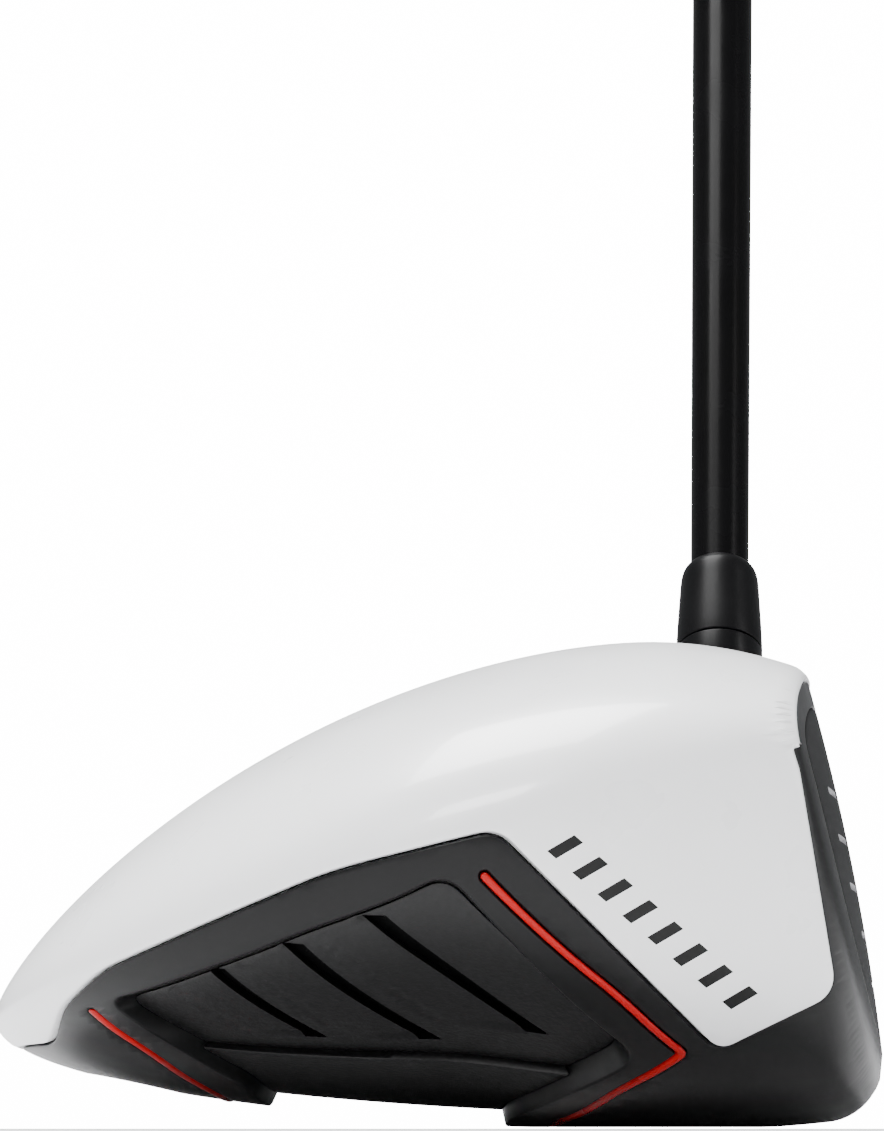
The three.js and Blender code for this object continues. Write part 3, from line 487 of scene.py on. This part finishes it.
# ---- Meshes ----
def add_mesh(name, points, faces, sharp=38):
    mesh = bpy.data.meshes.new(name)
    mesh.from_pydata((np.asarray(points) * MM).tolist(), [], [tuple(int(i) for i in f) for f in faces])
    mesh.validate()
    obj = bpy.data.objects.new(name, mesh)
    bpy.context.collection.objects.link(obj)
    finish_mesh(obj, sharp)
    return obj


def finish_mesh(obj, sharp=38):
    mesh = obj.data
    mesh.shade_smooth()
    mesh.set_sharp_from_angle(angle=math.radians(sharp))
    mesh.update()


def borders(triangles):
    """Edges used by one triangle, in that triangle's direction."""
    edges = np.vstack([triangles[:, [0, 1]], triangles[:, [1, 2]], triangles[:, [2, 0]]])
    key = np.sort(edges, axis=1)
    _, index, count = np.unique(key, axis=0, return_index=True, return_counts=True)
    return edges[index[count == 1]]


def slab(name, top, bottom, triangles, sharp=38):
    """A closed solid between two copies of the same triangles."""
    used, flat = np.unique(triangles, return_inverse=True)
    tri = flat.reshape(-1, 3)
    points = np.vstack([top[used], bottom[used]])
    count = len(used)
    rim = borders(tri)
    walls = [(b, a, a + count, b + count) for a, b in rim]
    faces = [tuple(f) for f in tri] + [tuple(f[::-1] + count) for f in tri] + walls
    a, b, c = (points[tri[:, i]] for i in range(3))
    up = np.cross(b - a, c - a)
    outward = np.sum(up * (a - bottom[used][tri[:, 0]]))
    if outward < 0:
        faces = [tuple(reversed(f)) for f in faces]
    return add_mesh(name, points, faces, sharp)


def carve(obj, tool, operation="DIFFERENCE", keep=False):
    cut = obj.modifiers.new("cut", "BOOLEAN")
    cut.operation, cut.solver, cut.object = operation, "MANIFOLD", tool
    bpy.context.view_layer.update()
    made = bpy.data.meshes.new_from_object(obj.evaluated_get(bpy.context.evaluated_depsgraph_get()))
    obj.modifiers.clear()
    obj.data = made
    if not keep:
        bpy.data.objects.remove(tool)
    finish_mesh(obj)


AXIS_FOOT = Vector((1, 26, 0))
AXIS = Matrix.Translation(AXIS_FOOT * MM) @ Matrix.Rotation(-(math.pi / 2 - LIE), 4, "X")
WEIGHT = Matrix.Translation(Vector((-76, 0, 5.6)) * MM) @ Matrix.Rotation(math.radians(11.8), 4, "Y")


def turned(name, profile, place=None, steps=96, sharp=30, ripple=None):
    """A closed turned piece; profile is a closed loop of (radius, along). ripple changes a point's radius."""
    count = len(profile)
    points, faces, poles = [], [], {}
    for k, (r, h) in enumerate(profile):
        for j in range(steps):
            turn = 2 * math.pi * j / steps
            radius = r if ripple is None else ripple(r, h, turn)
            points.append((radius * math.cos(turn), radius * math.sin(turn), h))
    for k in range(count):
        n = (k + 1) % count
        if profile[k][0] < 1e-6 and profile[n][0] < 1e-6:
            continue
        for j in range(steps):
            m = (j + 1) % steps
            faces.append((k * steps + j, k * steps + m, n * steps + m, n * steps + j))
    obj = add_mesh(name, points, faces, sharp)
    mesh = bmesh.new()
    mesh.from_mesh(obj.data)
    bmesh.ops.remove_doubles(mesh, verts=mesh.verts, dist=1e-7)
    bmesh.ops.recalc_face_normals(mesh, faces=mesh.faces)
    mesh.to_mesh(obj.data)
    mesh.free()
    finish_mesh(obj, sharp)
    if place is not None:
        obj.data.transform(place)
    return obj


def fillet(corners, steps=5):
    """A closed profile whose (radius, along, round) corners are rounded."""
    out = []
    count = len(corners)
    for i, corner in enumerate(corners):
        here = Vector(corner[:2])
        size = corner[2] if len(corner) > 2 else 0
        if not size:
            out.append(tuple(here))
            continue
        back = Vector(corners[i - 1][:2]) - here
        on = Vector(corners[(i + 1) % count][:2]) - here
        start = here + back.normalized() * min(size, back.length * 0.49)
        end = here + on.normalized() * min(size, on.length * 0.49)
        for t in np.linspace(0, 1, steps + 1):
            out.append(tuple((1 - t) ** 2 * start + 2 * t * (1 - t) * here + t * t * end))
    return out


def rod(name, radius, low, high, place, steps=64):
    return turned(name, [(0, low), (radius, low), (radius, high), (0, high)], place, steps)


# ---- The head ----
PANEL_TOP, PANEL_BACK, TRAY_TOP, TRAY_BACK, WALL_FOOT = 3.4, 6.2, 6.5, 7.6, 7.0
KEEL_TOP, KEEL_BACK = 2.2, 3.8
CROWN_PROUD, CROWN_BACK, LEDGE_TOP, LEDGE, SKIN = 0.39, 0.8, 1.15, 7.0, 2.2
BEAD_HALF, BEAD_PROUD, BEAD_BACK, GROOVE_FLOOR = 0.5, 0.22, 0.65, 0.95
HOSEL_TOP, HOSEL_RADIUS = 73.8, 6.9
NECK = [(9.0, 45.5), (9.6, 50.0), (8.4, 57.0), (7.3, 65.0), (6.9, 71.0), (6.9, 73.4)]


def merged(chart, triangles):
    """The chart's two ends joined where they meet on the surface, with the rear tip as one point."""
    place = surface(chart[:, 0], chart[:, 1])
    near = np.where(np.abs(chart[:, 1] - TOP) < 1e-6)[0]
    tree = KDTree(len(near))
    for i in near:
        tree.insert(place[i], int(i))
    tree.balance()
    same = np.arange(len(chart))
    for i in np.where(np.abs(chart[:, 1] - TOP - 2 * np.pi) < 1e-6)[0]:
        same[i] = tree.find(place[i])[1]
    tip = np.where(chart[:, 0] > SPAN - 1e-3)[0]
    same[tip] = tip[0]
    joined = same[triangles]
    whole = (joined[:, 0] != joined[:, 1]) & (joined[:, 1] != joined[:, 2]) & (joined[:, 2] != joined[:, 0])
    return joined[whole], whole


def capped(points, triangles):
    """A closed surface: the head's outside with a fan over the open face."""
    used, flat = np.unique(triangles, return_inverse=True)
    tri = flat.reshape(-1, 3)
    points = points[used]
    rim = borders(tri)
    centre = points[np.unique(rim)].mean(0)
    fan = [(b, a, len(points)) for a, b in rim]
    return np.vstack([points, centre]), [tuple(f) for f in tri] + fan


def outward(obj):
    mesh = bmesh.new()
    mesh.from_mesh(obj.data)
    bmesh.ops.recalc_face_normals(mesh, faces=mesh.faces)
    mesh.to_mesh(obj.data)
    mesh.free()


def spline(points, parts=6):
    """A smooth line through (radius, along) points."""
    p = [np.array(q, float) for q in [points[0]] + list(points) + [points[-1]]]
    out = []
    for a, b, c, d in zip(p, p[1:], p[2:], p[3:]):
        for t in np.linspace(0, 1, parts, endpoint=False):
            out.append(tuple(0.5 * (2 * b + (c - a) * t + (2 * a - 5 * b + 4 * c - d) * t * t + (3 * b - a - 3 * c + d) * t ** 3)))
    out.append(tuple(points[-1]))
    return out


def neck(name, grown):
    side = [(r + grown, h) for r, h in spline(NECK)]
    top = HOSEL_TOP + (6 if grown else 0)
    profile = [(0, 40), (6 + grown, 41)] + side + [(HOSEL_RADIUS - 0.15 + grown, top - 0.1), (HOSEL_RADIUS - 0.4 + grown, top), (0, top)]
    return turned(name, profile, AXIS, 96)


def head_parts():
    chart, raw = triangulate()
    triangles, whole = merged(chart, raw)
    middle = fields(chart[raw].mean(1)[whole])
    at = fields(chart)
    a, phi, t = chart[:, 0], chart[:, 1], at["t"]
    crown, recess = at["crown"], at["recess"]
    bead = np.minimum(at["front"], at["rear"])
    beads = np.minimum(middle["front"], middle["rear"])

    def layer(inset, face_inset=None, floor=0.0):
        out = surface(a, phi, np.broadcast_to(inset, a.shape), face_inset)
        out[:, 2] = np.maximum(out[:, 2], floor)
        return out

    # Black body: a ledge under the white shell, grooves for the beads and walls round the recess
    under_white = (crown < GAP - 0.06) & (t > BODY_FRONT + 0.05 / 110)
    top = np.maximum(rounded(recess, 0.3) * (recess < 2), rounded(bead - 0.8, 0.1) * (bead < 2))
    top = np.maximum(top, np.where(crown > GAP - 0.06, rounded(crown - GAP, 0.28), 0) * (t > BODY_FRONT))
    top = np.where(bead < 0.8 - 0.04, GROOVE_FLOOR, top)
    top = np.where(under_white, LEDGE_TOP, top)
    back = SKIN + (WALL_FOOT - SKIN) * smooth(-5.0, -2.0, -recess)
    back = np.where(recess < 0, WALL_FOOT, back)
    deep = (middle["crown"] < -LEDGE) & (middle["t"] > LEDGE / 110)
    pick = ~deep & (middle["recess"] > 0)
    body = slab("head_body_v", layer(top), layer(back), triangles[pick])
    tray_pick = middle["recess"] < 0.9
    tray = slab("tray", layer(TRAY_TOP), layer(TRAY_BACK), triangles[tray_pick])

    core_points, core_faces = capped(layer(1.1), triangles)
    core = add_mesh("core", core_points, core_faces)
    outward(core)

    # White crown with the toe side
    pick = (middle["crown"] < 0) & (middle["t"] > WHITE_FRONT)
    edge = np.maximum(rounded(np.maximum(-crown, 0), 0.28), rounded(np.maximum(t - WHITE_FRONT, 0) * 110, 0.28))
    white = slab("crown_shell_v", layer(edge - CROWN_PROUD, -CROWN_PROUD), layer(CROWN_BACK), triangles[pick])
    centre = surface(*chart[raw].mean(1)[whole].T)[pick]
    marked = np.zeros(len(centre), bool)
    for bar in bars():
        marked |= distance(centre[:, [0, 2]], bar)[1] & middle["toe"][pick]
    index = np.zeros(len(white.data.polygons), int)
    index[:len(centre)] = marked

    # Beads, panels and keel
    raised = BEAD_PROUD * (2 * np.sqrt(np.clip(1 - (bead / 0.56) ** 2, 0, 1)) - 1.0)
    pieces = {}
    for name, key in (("front_accent_v", "front"), ("rear_accent_v", "rear")):
        pieces[name] = slab(name, layer(-raised, floor=0.02), layer(BEAD_BACK), triangles[middle[key] < BEAD_HALF], 60)
    relief = slot_relief(at["x"], at["v"])
    panel_edge = np.maximum(rounded(np.clip(-0.15 - recess, 0, None), 0.22), rounded(np.clip(at["v"] - KEEL_HALF - GAP, 0, None), 0.22))
    floor_pick = (middle["recess"] < -0.15) & (middle["v"] > KEEL_HALF + GAP)
    for name, side in (("toe_panel_v", middle["toe"]), ("heel_panel_v", ~middle["toe"])):
        chosen = floor_pick & side
        panel = slab(name, layer(PANEL_TOP + relief + panel_edge), layer(PANEL_BACK), triangles[chosen], 50)
        # Faces inside the slots take the second, darker material: painted shade in the louvre slots.
        slot_shade_index = np.zeros(len(panel.data.polygons), np.int32)
        slot_shade_index[:chosen.sum()] = in_slot(middle["x"][chosen], middle["v"][chosen])
        panel.data.polygons.foreach_set("material_index", slot_shade_index)
        pieces[name] = panel
    keel_edge = np.maximum(rounded(np.clip(-0.15 - recess, 0, None), 0.22), rounded(np.clip(KEEL_HALF - at["v"], 0, None), 0.25))
    keel_pick = (middle["recess"] < -0.15) & (middle["v"] < KEEL_HALF)
    pieces["keel_plate_v"] = slab("keel_plate_v", layer(KEEL_TOP + keel_edge), layer(KEEL_BACK), triangles[keel_pick])
    rim = surface(np.full(260, -3.0), np.linspace(TOP, TOP + 2 * np.pi, 261)[:-1])[:, 1:]
    return body, tray, core, white, index, pieces, rim


def hole(obj, *tools):
    for tool in tools:
        carve(obj, tool)


def finish_head(body, tray, core, white):
    """Bosses, neck, bore and pockets of the body, and the opening for the neck in the white shell."""
    carve(body, tray, "UNION")
    for radius, top, place in ((HOSEL_RADIUS, 55.0, AXIS), (8.8, 15.3, WEIGHT)):
        boss = rod("boss", radius, -20.0, top, place)
        carve(boss, core, "INTERSECT", keep=True)
        carve(body, boss, "UNION")
    bpy.data.objects.remove(core)
    carve(body, neck("neck", 0.0), "UNION")
    hole(
        body,
        rod("bore", 5.5, 31.0, 84.0, AXIS, 96),
        rod("screw_hole", 2.6, 0.0, 60.0, AXIS),
        rod("wrench_pocket", 4.8, -20.0, 28.0, AXIS, 96),
        rod("weight_pocket", 6.6, -20.0, 5.6, WEIGHT, 96),
        rod("weight_hole", 1.95, 0.0, 11.9, WEIGHT),
    )
    carve(white, neck("neck_hole", GAP))


SCORES = [(-31, 42.6), (-31, 36.6), (-28, 30.6), (-22, 24.6), (-14, 18.6)]
SCORE_LENGTH, SCORE_HALF, SCORE_DEPTH, FACE_WALL = 12.0, 0.45, 0.45, 3.2


def face_plate(rim):
    """The hitting face with its score lines, triangulated in (y, z)."""
    outline = np.vstack([rim, rim[:1]])
    loops = [shifted(outline, -GAP - 0.3 * d) for d, _ in BEVELS]
    lines = []
    for y, z in SCORES:
        for start in (y, 2 * FACE_Y - y - SCORE_LENGTH):
            lines.append(dense([(start, z), (start + SCORE_LENGTH, z)], 0.5, closed=False))
    loops += [stadium(line, half) for line in lines for half in (SCORE_HALF, 0.28)]
    ys, zs = np.meshgrid(np.arange(-52, 54, 1.2), np.arange(6, 60, 1.04))
    ys = ys + 0.6 * (np.arange(ys.shape[0]) % 2)[:, None]
    grid = np.stack([ys.ravel(), zs.ravel()], -1)
    fixed = np.vstack(loops)
    tree = KDTree(len(fixed))
    for i, (y, z) in enumerate(fixed):
        tree.insert((y, z, 0), i)
    tree.balance()
    inner = distance(grid, loops[0])[1]
    clear = np.array([tree.find((y, z, 0))[2] > 0.45 for y, z in grid])
    points = np.vstack([fixed, grid[inner & clear]])
    edges, start = [], 0
    for loop in loops:
        edges += [(start + i, start + i + 1) for i in range(len(loop) - 1)]
        start += len(loop)
    out = geometry.delaunay_2d_cdt([Vector(p) for p in points], edges, [], 0, 1e-3)
    flat = np.array([tuple(p) for p in out[0]])
    triangles = np.array([f for f in out[2] if len(f) == 3])
    middle = flat[triangles].mean(1)
    triangles = triangles[distance(middle, loops[0])[1]]
    middle = flat[triangles].mean(1)
    near = np.min([distance(flat, line)[0] for line in lines], axis=0)
    grooved = np.min([distance(middle, line)[0] for line in lines], axis=0) < SCORE_HALF
    drop = rounded(distance(flat, loops[0])[0], 0.3) + SCORE_DEPTH * (1 - smooth(0.27, SCORE_HALF, near))
    y, z = flat[:, 0], flat[:, 1]
    top = np.stack([face_x(y, z) - drop, y, z], -1)
    back = np.stack([face_x(y, z) - FACE_WALL, y, z], -1)
    obj = slab("face_plate_v", top, back, triangles)
    obj.data.polygons.foreach_set("material_index", np.concatenate([grooved, np.zeros(len(obj.data.polygons) - len(grooved), bool)]).astype(np.int32))
    return obj


# ---- Shaft assembly, screws and weight ----
TIP, LOW, BUTT, SHAFT_WALL = 4.25, 4.74, 7.65, 1.1
SHAFT_FOOT, FERRULE_TOP, LOW_AT, SHAFT_TOP = 45.3, 94.3, 207.0, 1150.8
GRIP_FOOT, GRIP_TOP = 884.8, 1152.8


def shaft_radius(along):
    return float(np.interp(along, [FERRULE_TOP, LOW_AT, SHAFT_TOP], [TIP, LOW, BUTT]))


def grip_ripple(r, h, turn):
    """Crossed grooves pressed into the grip's outside."""
    if r < 9.0:
        return r
    area = float(smooth(900, 908, h) * (1 - smooth(1126, 1134, h)))
    crossed = max(abs(math.cos(turn * 9 + h * 0.42)), abs(math.cos(turn * 9 - h * 0.42)))
    bands = 0.25 * float(smooth(0.9, 1.0, math.cos(h * 0.35))) * (1 - area)
    return r - 0.42 * area * float(smooth(0.93, 1.0, crossed)) - bands


def thread(radius, low, high, pitch=0.8, depth=0.22):
    """Rings that stand for a thread, as (radius, along) points going up."""
    out = []
    for k in range(int((high - low) / pitch)):
        out += [(radius, low + k * pitch + 0.15), (radius - depth, low + (k + 0.5) * pitch), (radius, low + (k + 0.85) * pitch)]
    return out


def shaft_pieces():
    made = {}
    made["adapter_sleeve"] = turned("adapter_sleeve_v", fillet([
        (2.45, 39.8), (5.2, 39.8, 0.4), (5.2, 74.1), (6.3, 74.1, 0.2), (6.3, 79.5, 0.2), (4.55, 79.5), (4.55, 45.0), (2.45, 45.0),
    ]), AXIS)
    made["ferrule"] = turned("ferrule_v", fillet([
        (4.55, 79.8), (6.3, 79.8, 0.15), (6.17, 83.8, 1.5), (5.7, 92.4, 1.6), (5.35, 93.6, 0.5), (4.8, 94.3, 0.2), (4.55, 94.3),
    ]), AXIS)
    stations = np.concatenate([np.arange(SHAFT_FOOT + 0.5, SHAFT_TOP - 0.5, 25), [SHAFT_TOP - 0.3]])
    outside = [(shaft_radius(SHAFT_FOOT) - 0.2, SHAFT_FOOT)] + [(shaft_radius(a), a) for a in stations]
    outside += [(shaft_radius(SHAFT_TOP) - 0.3, SHAFT_TOP)]
    inside = [(shaft_radius(a) - SHAFT_WALL, a) for a in (SHAFT_TOP, LOW_AT, FERRULE_TOP, SHAFT_FOOT)]
    made["shaft"] = turned("shaft_v", outside + inside, AXIS, 128)
    made["tip_plug"] = turned("tip_plug_v", fillet([(0, 47.3), (3.0, 47.3, 0.4), (3.0, 57.3, 0.4), (0, 57.3)]), AXIS)
    ends = (GRIP_FOOT + 4, SHAFT_TOP - 4)
    made["grip_tape"] = turned("grip_tape_v", [
        (shaft_radius(ends[0]) + 0.3, ends[0]), (shaft_radius(ends[0]) + 0.6, ends[0]),
        (shaft_radius(ends[1]) + 0.6, ends[1]), (shaft_radius(ends[1]) + 0.3, ends[1]),
    ], AXIS)
    heights = np.arange(886.2, 1151.6, 1.25)
    radii = np.interp(heights, [886, 1092.8, 1138.8, 1152.8], [9.8, 12.4, 13.2, 13.2])
    profile = [(shaft_radius(GRIP_FOOT) + 0.9, GRIP_FOOT), (9.0, GRIP_FOOT), (9.45, GRIP_FOOT + 0.4)]
    profile += list(zip(radii, heights)) + [(13.2, 1152.4), (12.9, GRIP_TOP), (shaft_radius(SHAFT_TOP) + 0.9, GRIP_TOP)]
    made["grip"] = turned("grip_v", profile, AXIS, 144, 50, grip_ripple)
    made["grip_cap"] = turned("grip_cap_v", fillet([
        (1.6, 1153.1), (13.2, 1153.1, 0.3), (13.2, 1154.8, 0.6), (12.0, 1156, 0.8), (9.4, 1156, 0.2), (9.1, 1155.6, 0.2),
        (8.5, 1155.6, 0.2), (8.2, 1156, 0.2), (1.9, 1156, 0.2), (1.6, 1155.6),
    ]), AXIS)
    return made


def small_pieces():
    made = {}
    screw = [(0, 21.6), (3.9, 21.6), (4.2, 21.9), (4.2, 26.4), (4.0, 26.6), (2.3, 26.6), (2.3, 36)]
    made["hosel_screw"] = turned("hosel_screw_v", screw + thread(2.3, 36, 43.8) + [(2.3, 43.9), (1.9, 44.4), (0, 44.4)], AXIS, 72)
    carve(made["hosel_screw"], rod("socket", 2.1, 10, 24.2, AXIS, 6))
    made["hosel_washer"] = turned("hosel_washer_v", fillet([(2.6, 26.9), (4.2, 26.9, 0.2), (4.2, 27.7, 0.2), (2.6, 27.7)]), AXIS)
    made["screw_keeper"] = turned("screw_keeper_v", fillet([(2.45, 31.3), (3.6, 31.3, 0.25), (3.6, 32.5, 0.25), (2.45, 32.5)]), AXIS)
    made["rear_weight"] = turned("rear_weight_v", fillet([
        (3.3, 1.0), (3.5, 0.9, 0.1), (4.5, 0.9, 0.05), (4.6, 1.15), (4.9, 1.15), (5.0, 0.9, 0.05), (5.9, 0.9, 0.1), (6.3, 1.3, 0.1),
        (6.3, 5.3, 0.2), (2.1, 5.3), (2.1, 3.2), (3.3, 3.2),
    ]), WEIGHT)
    screw = [(0, 0.9), (2.75, 0.9), (3.0, 1.15), (3.0, 2.9), (1.8, 2.9), (1.8, 4)]
    made["rear_weight_screw"] = turned("rear_weight_screw_v", screw + thread(1.8, 4, 10.4) + [(1.8, 10.5), (1.4, 10.9), (0, 10.9)], WEIGHT, 72)
    carve(made["rear_weight_screw"], rod("socket", 1.5, -5, 2.3, WEIGHT, 6))
    return made


# ---- Materials ----
def coating(name, color, roughness, metallic=0.0, clear=0.0, spread=0.05, tint=0.08, size=70.0, grain=2600.0, lift=0.02, stretch=(1, 1, 1), specular=0.5):
    """A finish with cloudy roughness and tone, and a fine grain in its bump. lift is in millimetres."""
    mat = bpy.data.materials.new(name)
    mat.use_nodes = True
    nodes, links = mat.node_tree.nodes, mat.node_tree.links
    shader = nodes["Principled BSDF"]
    shader.inputs["Metallic"].default_value = metallic
    shader.inputs["Coat Weight"].default_value = clear
    shader.inputs["Coat Roughness"].default_value = 0.06
    shader.inputs["Specular IOR Level"].default_value = specular
    place = nodes.new("ShaderNodeTexCoord")
    scaled = nodes.new("ShaderNodeVectorMath")
    scaled.operation = "MULTIPLY"
    scaled.inputs[1].default_value = stretch
    links.new(place.outputs["Object"], scaled.inputs[0])

    def noise(scale, detail):
        node = nodes.new("ShaderNodeTexNoise")
        node.inputs["Scale"].default_value = scale
        node.inputs["Detail"].default_value = detail
        links.new(scaled.outputs[0], node.inputs["Vector"])
        return node.outputs["Fac"]

    rough = nodes.new("ShaderNodeMapRange")
    links.new(noise(size, 4), rough.inputs["Value"])
    rough.inputs["From Min"].default_value = 0.3
    rough.inputs["From Max"].default_value = 0.7
    rough.inputs["To Min"].default_value = max(roughness - spread, 0.02)
    rough.inputs["To Max"].default_value = roughness + spread
    links.new(rough.outputs["Result"], shader.inputs["Roughness"])
    tone = nodes.new("ShaderNodeMix")
    tone.data_type = "RGBA"
    tone.inputs[6].default_value = (*[c * (1 - tint) for c in color], 1)
    tone.inputs[7].default_value = (*[min(c * (1 + tint), 1) for c in color], 1)
    links.new(noise(size * 2.7, 6), tone.inputs[0])
    links.new(tone.outputs[2], shader.inputs["Base Color"])
    bump = nodes.new("ShaderNodeBump")
    bump.inputs["Strength"].default_value = 0.6
    bump.inputs["Distance"].default_value = lift * MM
    links.new(noise(grain, 2), bump.inputs["Height"])
    links.new(bump.outputs["Normal"], shader.inputs["Normal"])
    return mat


WHITE = coating("white_coat", (0.88, 0.885, 0.89), 0.3, clear=0.3, tint=0.012, spread=0.04, grain=900, lift=0.004)
MARK = coating("bar_black", (0.004, 0.004, 0.004), 0.35, lift=0.004, specular=0.2)
BLACK = coating("body_black", (0.0035, 0.0035, 0.0038), 0.33, lift=0.006, specular=0.2)
FACE = coating("face_black", (0.0035, 0.0035, 0.0038), 0.5, 0.05, lift=0.012, stretch=(1, 0.05, 1), specular=0.1)
SCORE = coating("score_grey", (0.3, 0.3, 0.31), 0.5, lift=0.01)
GRAIN = coating("panel_grain", (0.006, 0.006, 0.0063), 0.46, lift=0.1, grain=1500, specular=0.3)
RED = coating("bead_red", (0.36, 0.0012, 0.0018), 0.28, clear=0.1, lift=0.004, specular=0.15)
# Darker black on the slot floors is painted shade: it stands in for the shade deep inside the louvre slots.
SLOT_SHADE = coating("slot_painted_shade", (0.0012, 0.0012, 0.0013), 0.5, lift=0.01, specular=0.05)
SLEEVE = coating("sleeve_black", (0.003, 0.003, 0.0033), 0.3, lift=0.003, specular=0.07)
GLOSS = coating("shaft_black", (0.0022, 0.0022, 0.0024), 0.26, lift=0.003, specular=0.035)
RING = coating("ferrule_black", (0.003, 0.003, 0.0033), 0.36, lift=0.006, specular=0.06)
RUBBER = coating("grip_rubber", (0.02, 0.02, 0.02), 0.72, lift=0.08, grain=1800)
PAPER = coating("tape_paper", (0.6, 0.55, 0.42), 0.85, lift=0.05)
STEEL = coating("bright_steel", (0.56, 0.56, 0.57), 0.3, 1.0, lift=0.006)
DENSE = coating("dense_alloy", (0.3, 0.3, 0.31), 0.4, 1.0, lift=0.01)


# ---- Build ----
body, tray, core, white, marks, made, rim = head_parts()
white.data.materials.append(WHITE)
white.data.materials.append(MARK)
white.data.polygons.foreach_set("material_index", marks.astype(np.int32))
finish_head(body, tray, core, white)
made = {name[:-2]: obj for name, obj in made.items()}
made.update(crown_shell=white, head_body=body, face_plate=face_plate(rim))
made.update(shaft_pieces())
made.update(small_pieces())

SHAFT_BODY = "shaft_assembly"
TABLE = {
    "crown_shell": ("head", "white_paint", WHITE, MARK),
    "head_body": ("head", "black_metal", BLACK),
    "face_plate": ("head", "face_metal", FACE, SCORE),
    # The panels' second material is the painted shade for the louvre slots.
    "toe_panel": ("head", "panel_plastic", GRAIN, SLOT_SHADE),
    "heel_panel": ("head", "panel_plastic", GRAIN, SLOT_SHADE),
    "keel_plate": ("head", "panel_plastic", GRAIN),
    "front_accent": ("head", "red_plastic", RED),
    "rear_accent": ("head", "red_plastic", RED),
    "hosel_washer": ("head", "steel", STEEL),
    "rear_weight": ("weight_disc", "weight_metal", DENSE),
    "rear_weight_screw": ("weight_bolt", "steel", STEEL),
    "hosel_screw": ("hosel_bolt", "steel", STEEL),
    "screw_keeper": ("hosel_bolt", "steel", STEEL),
    "adapter_sleeve": (SHAFT_BODY, "sleeve_metal", SLEEVE),
    "ferrule": (SHAFT_BODY, "gloss_black", RING),
    "shaft": (SHAFT_BODY, "gloss_black", GLOSS),
    "tip_plug": (SHAFT_BODY, "rubber", RUBBER),
    "grip_tape": (SHAFT_BODY, "tape_paper", PAPER),
    "grip": (SHAFT_BODY, "rubber", RUBBER),
    "grip_cap": (SHAFT_BODY, "rubber", RUBBER),
}
for node, (rides_on, slot, *materials) in TABLE.items():
    obj = made[node]
    index = np.zeros(len(obj.data.polygons), np.int32)
    obj.data.polygons.foreach_get("material_index", index)
    obj.data.materials.clear()
    for mat in materials:
        obj.data.materials.append(mat)
    obj.data.polygons.foreach_set("material_index", np.minimum(index, len(materials) - 1))
    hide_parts(node)
    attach(obj, rides_on)


# ---- Camera, floor, backdrop and lights ----
def plain(name, color, strength):
    mat = bpy.data.materials.new(name)
    mat.use_nodes = True
    shader = mat.node_tree.nodes["Principled BSDF"]
    shader.inputs["Base Color"].default_value = (*color, 1)
    shader.inputs["Roughness"].default_value = 0.9
    shader.inputs["Emission Color"].default_value = (*color, 1)
    shader.inputs["Emission Strength"].default_value = strength
    return mat


def sheet(name, corners, mat):
    mesh = bpy.data.meshes.new(name)
    mesh.from_pydata(corners, [], [(0, 1, 2, 3)])
    obj = bpy.data.objects.new(name, mesh)
    obj.data.materials.append(mat)
    bpy.context.collection.objects.link(obj)
    return obj


def look(obj, target):
    obj.rotation_euler = (Vector(target) - obj.location).to_track_quat("-Z", "Y").to_euler()


def lamp(name, place, target, size, power, color=(1, 1, 1)):
    data = bpy.data.lights.new(name, "AREA")
    data.shape, data.size, data.size_y = "RECTANGLE", *size
    data.energy, data.color = power, color
    obj = bpy.data.objects.new(name, data)
    obj.location = place
    look(obj, target)
    bpy.context.collection.objects.link(obj)
    return obj


camera = bpy.data.objects.new("camera", bpy.data.cameras.new("camera"))
camera.location = (0.014, -0.7, 0.0)
look(camera, (-0.035, 0.0, 0.075))
camera.data.lens = 167.3
camera.data.sensor_width = 36
camera.data.clip_start = 0.01
bpy.context.collection.objects.link(camera)
bpy.context.scene.camera = camera

sheet("floor", [(-4, -4, -0.0006), (4, -4, -0.0006), (4, 4, -0.0006), (-4, 4, -0.0006)], plain("floor_white", (0.86, 0.86, 0.87), 0.0))
backdrop = sheet("backdrop", [(-3, 1.6, -0.1), (3, 1.6, -0.1), (3, 1.6, 4), (-3, 1.6, 4)], plain("backdrop_white", (1, 1, 1), 14.0))
backdrop.visible_diffuse = False
backdrop.visible_glossy = False
backdrop.visible_shadow = False

world = bpy.data.worlds.new("pale")
bpy.context.scene.world = world
world.use_nodes = True
world.node_tree.nodes["Background"].inputs["Color"].default_value = (0.9, 0.92, 0.95, 1)
world.node_tree.nodes["Background"].inputs["Strength"].default_value = 0.42
lamp("key", (-0.35, 0.1, 1.4), (-0.04, 0, 0.04), (0.9, 0.7), 62)
lamp("edge", (0.75, -0.02, 0.35), (0, 0, 0.05), (0.08, 0.9), 4)
lamp("fill", (-0.5, -1.3, 0.8), (-0.03, 0, 0.05), (0.5, 0.3), 16)
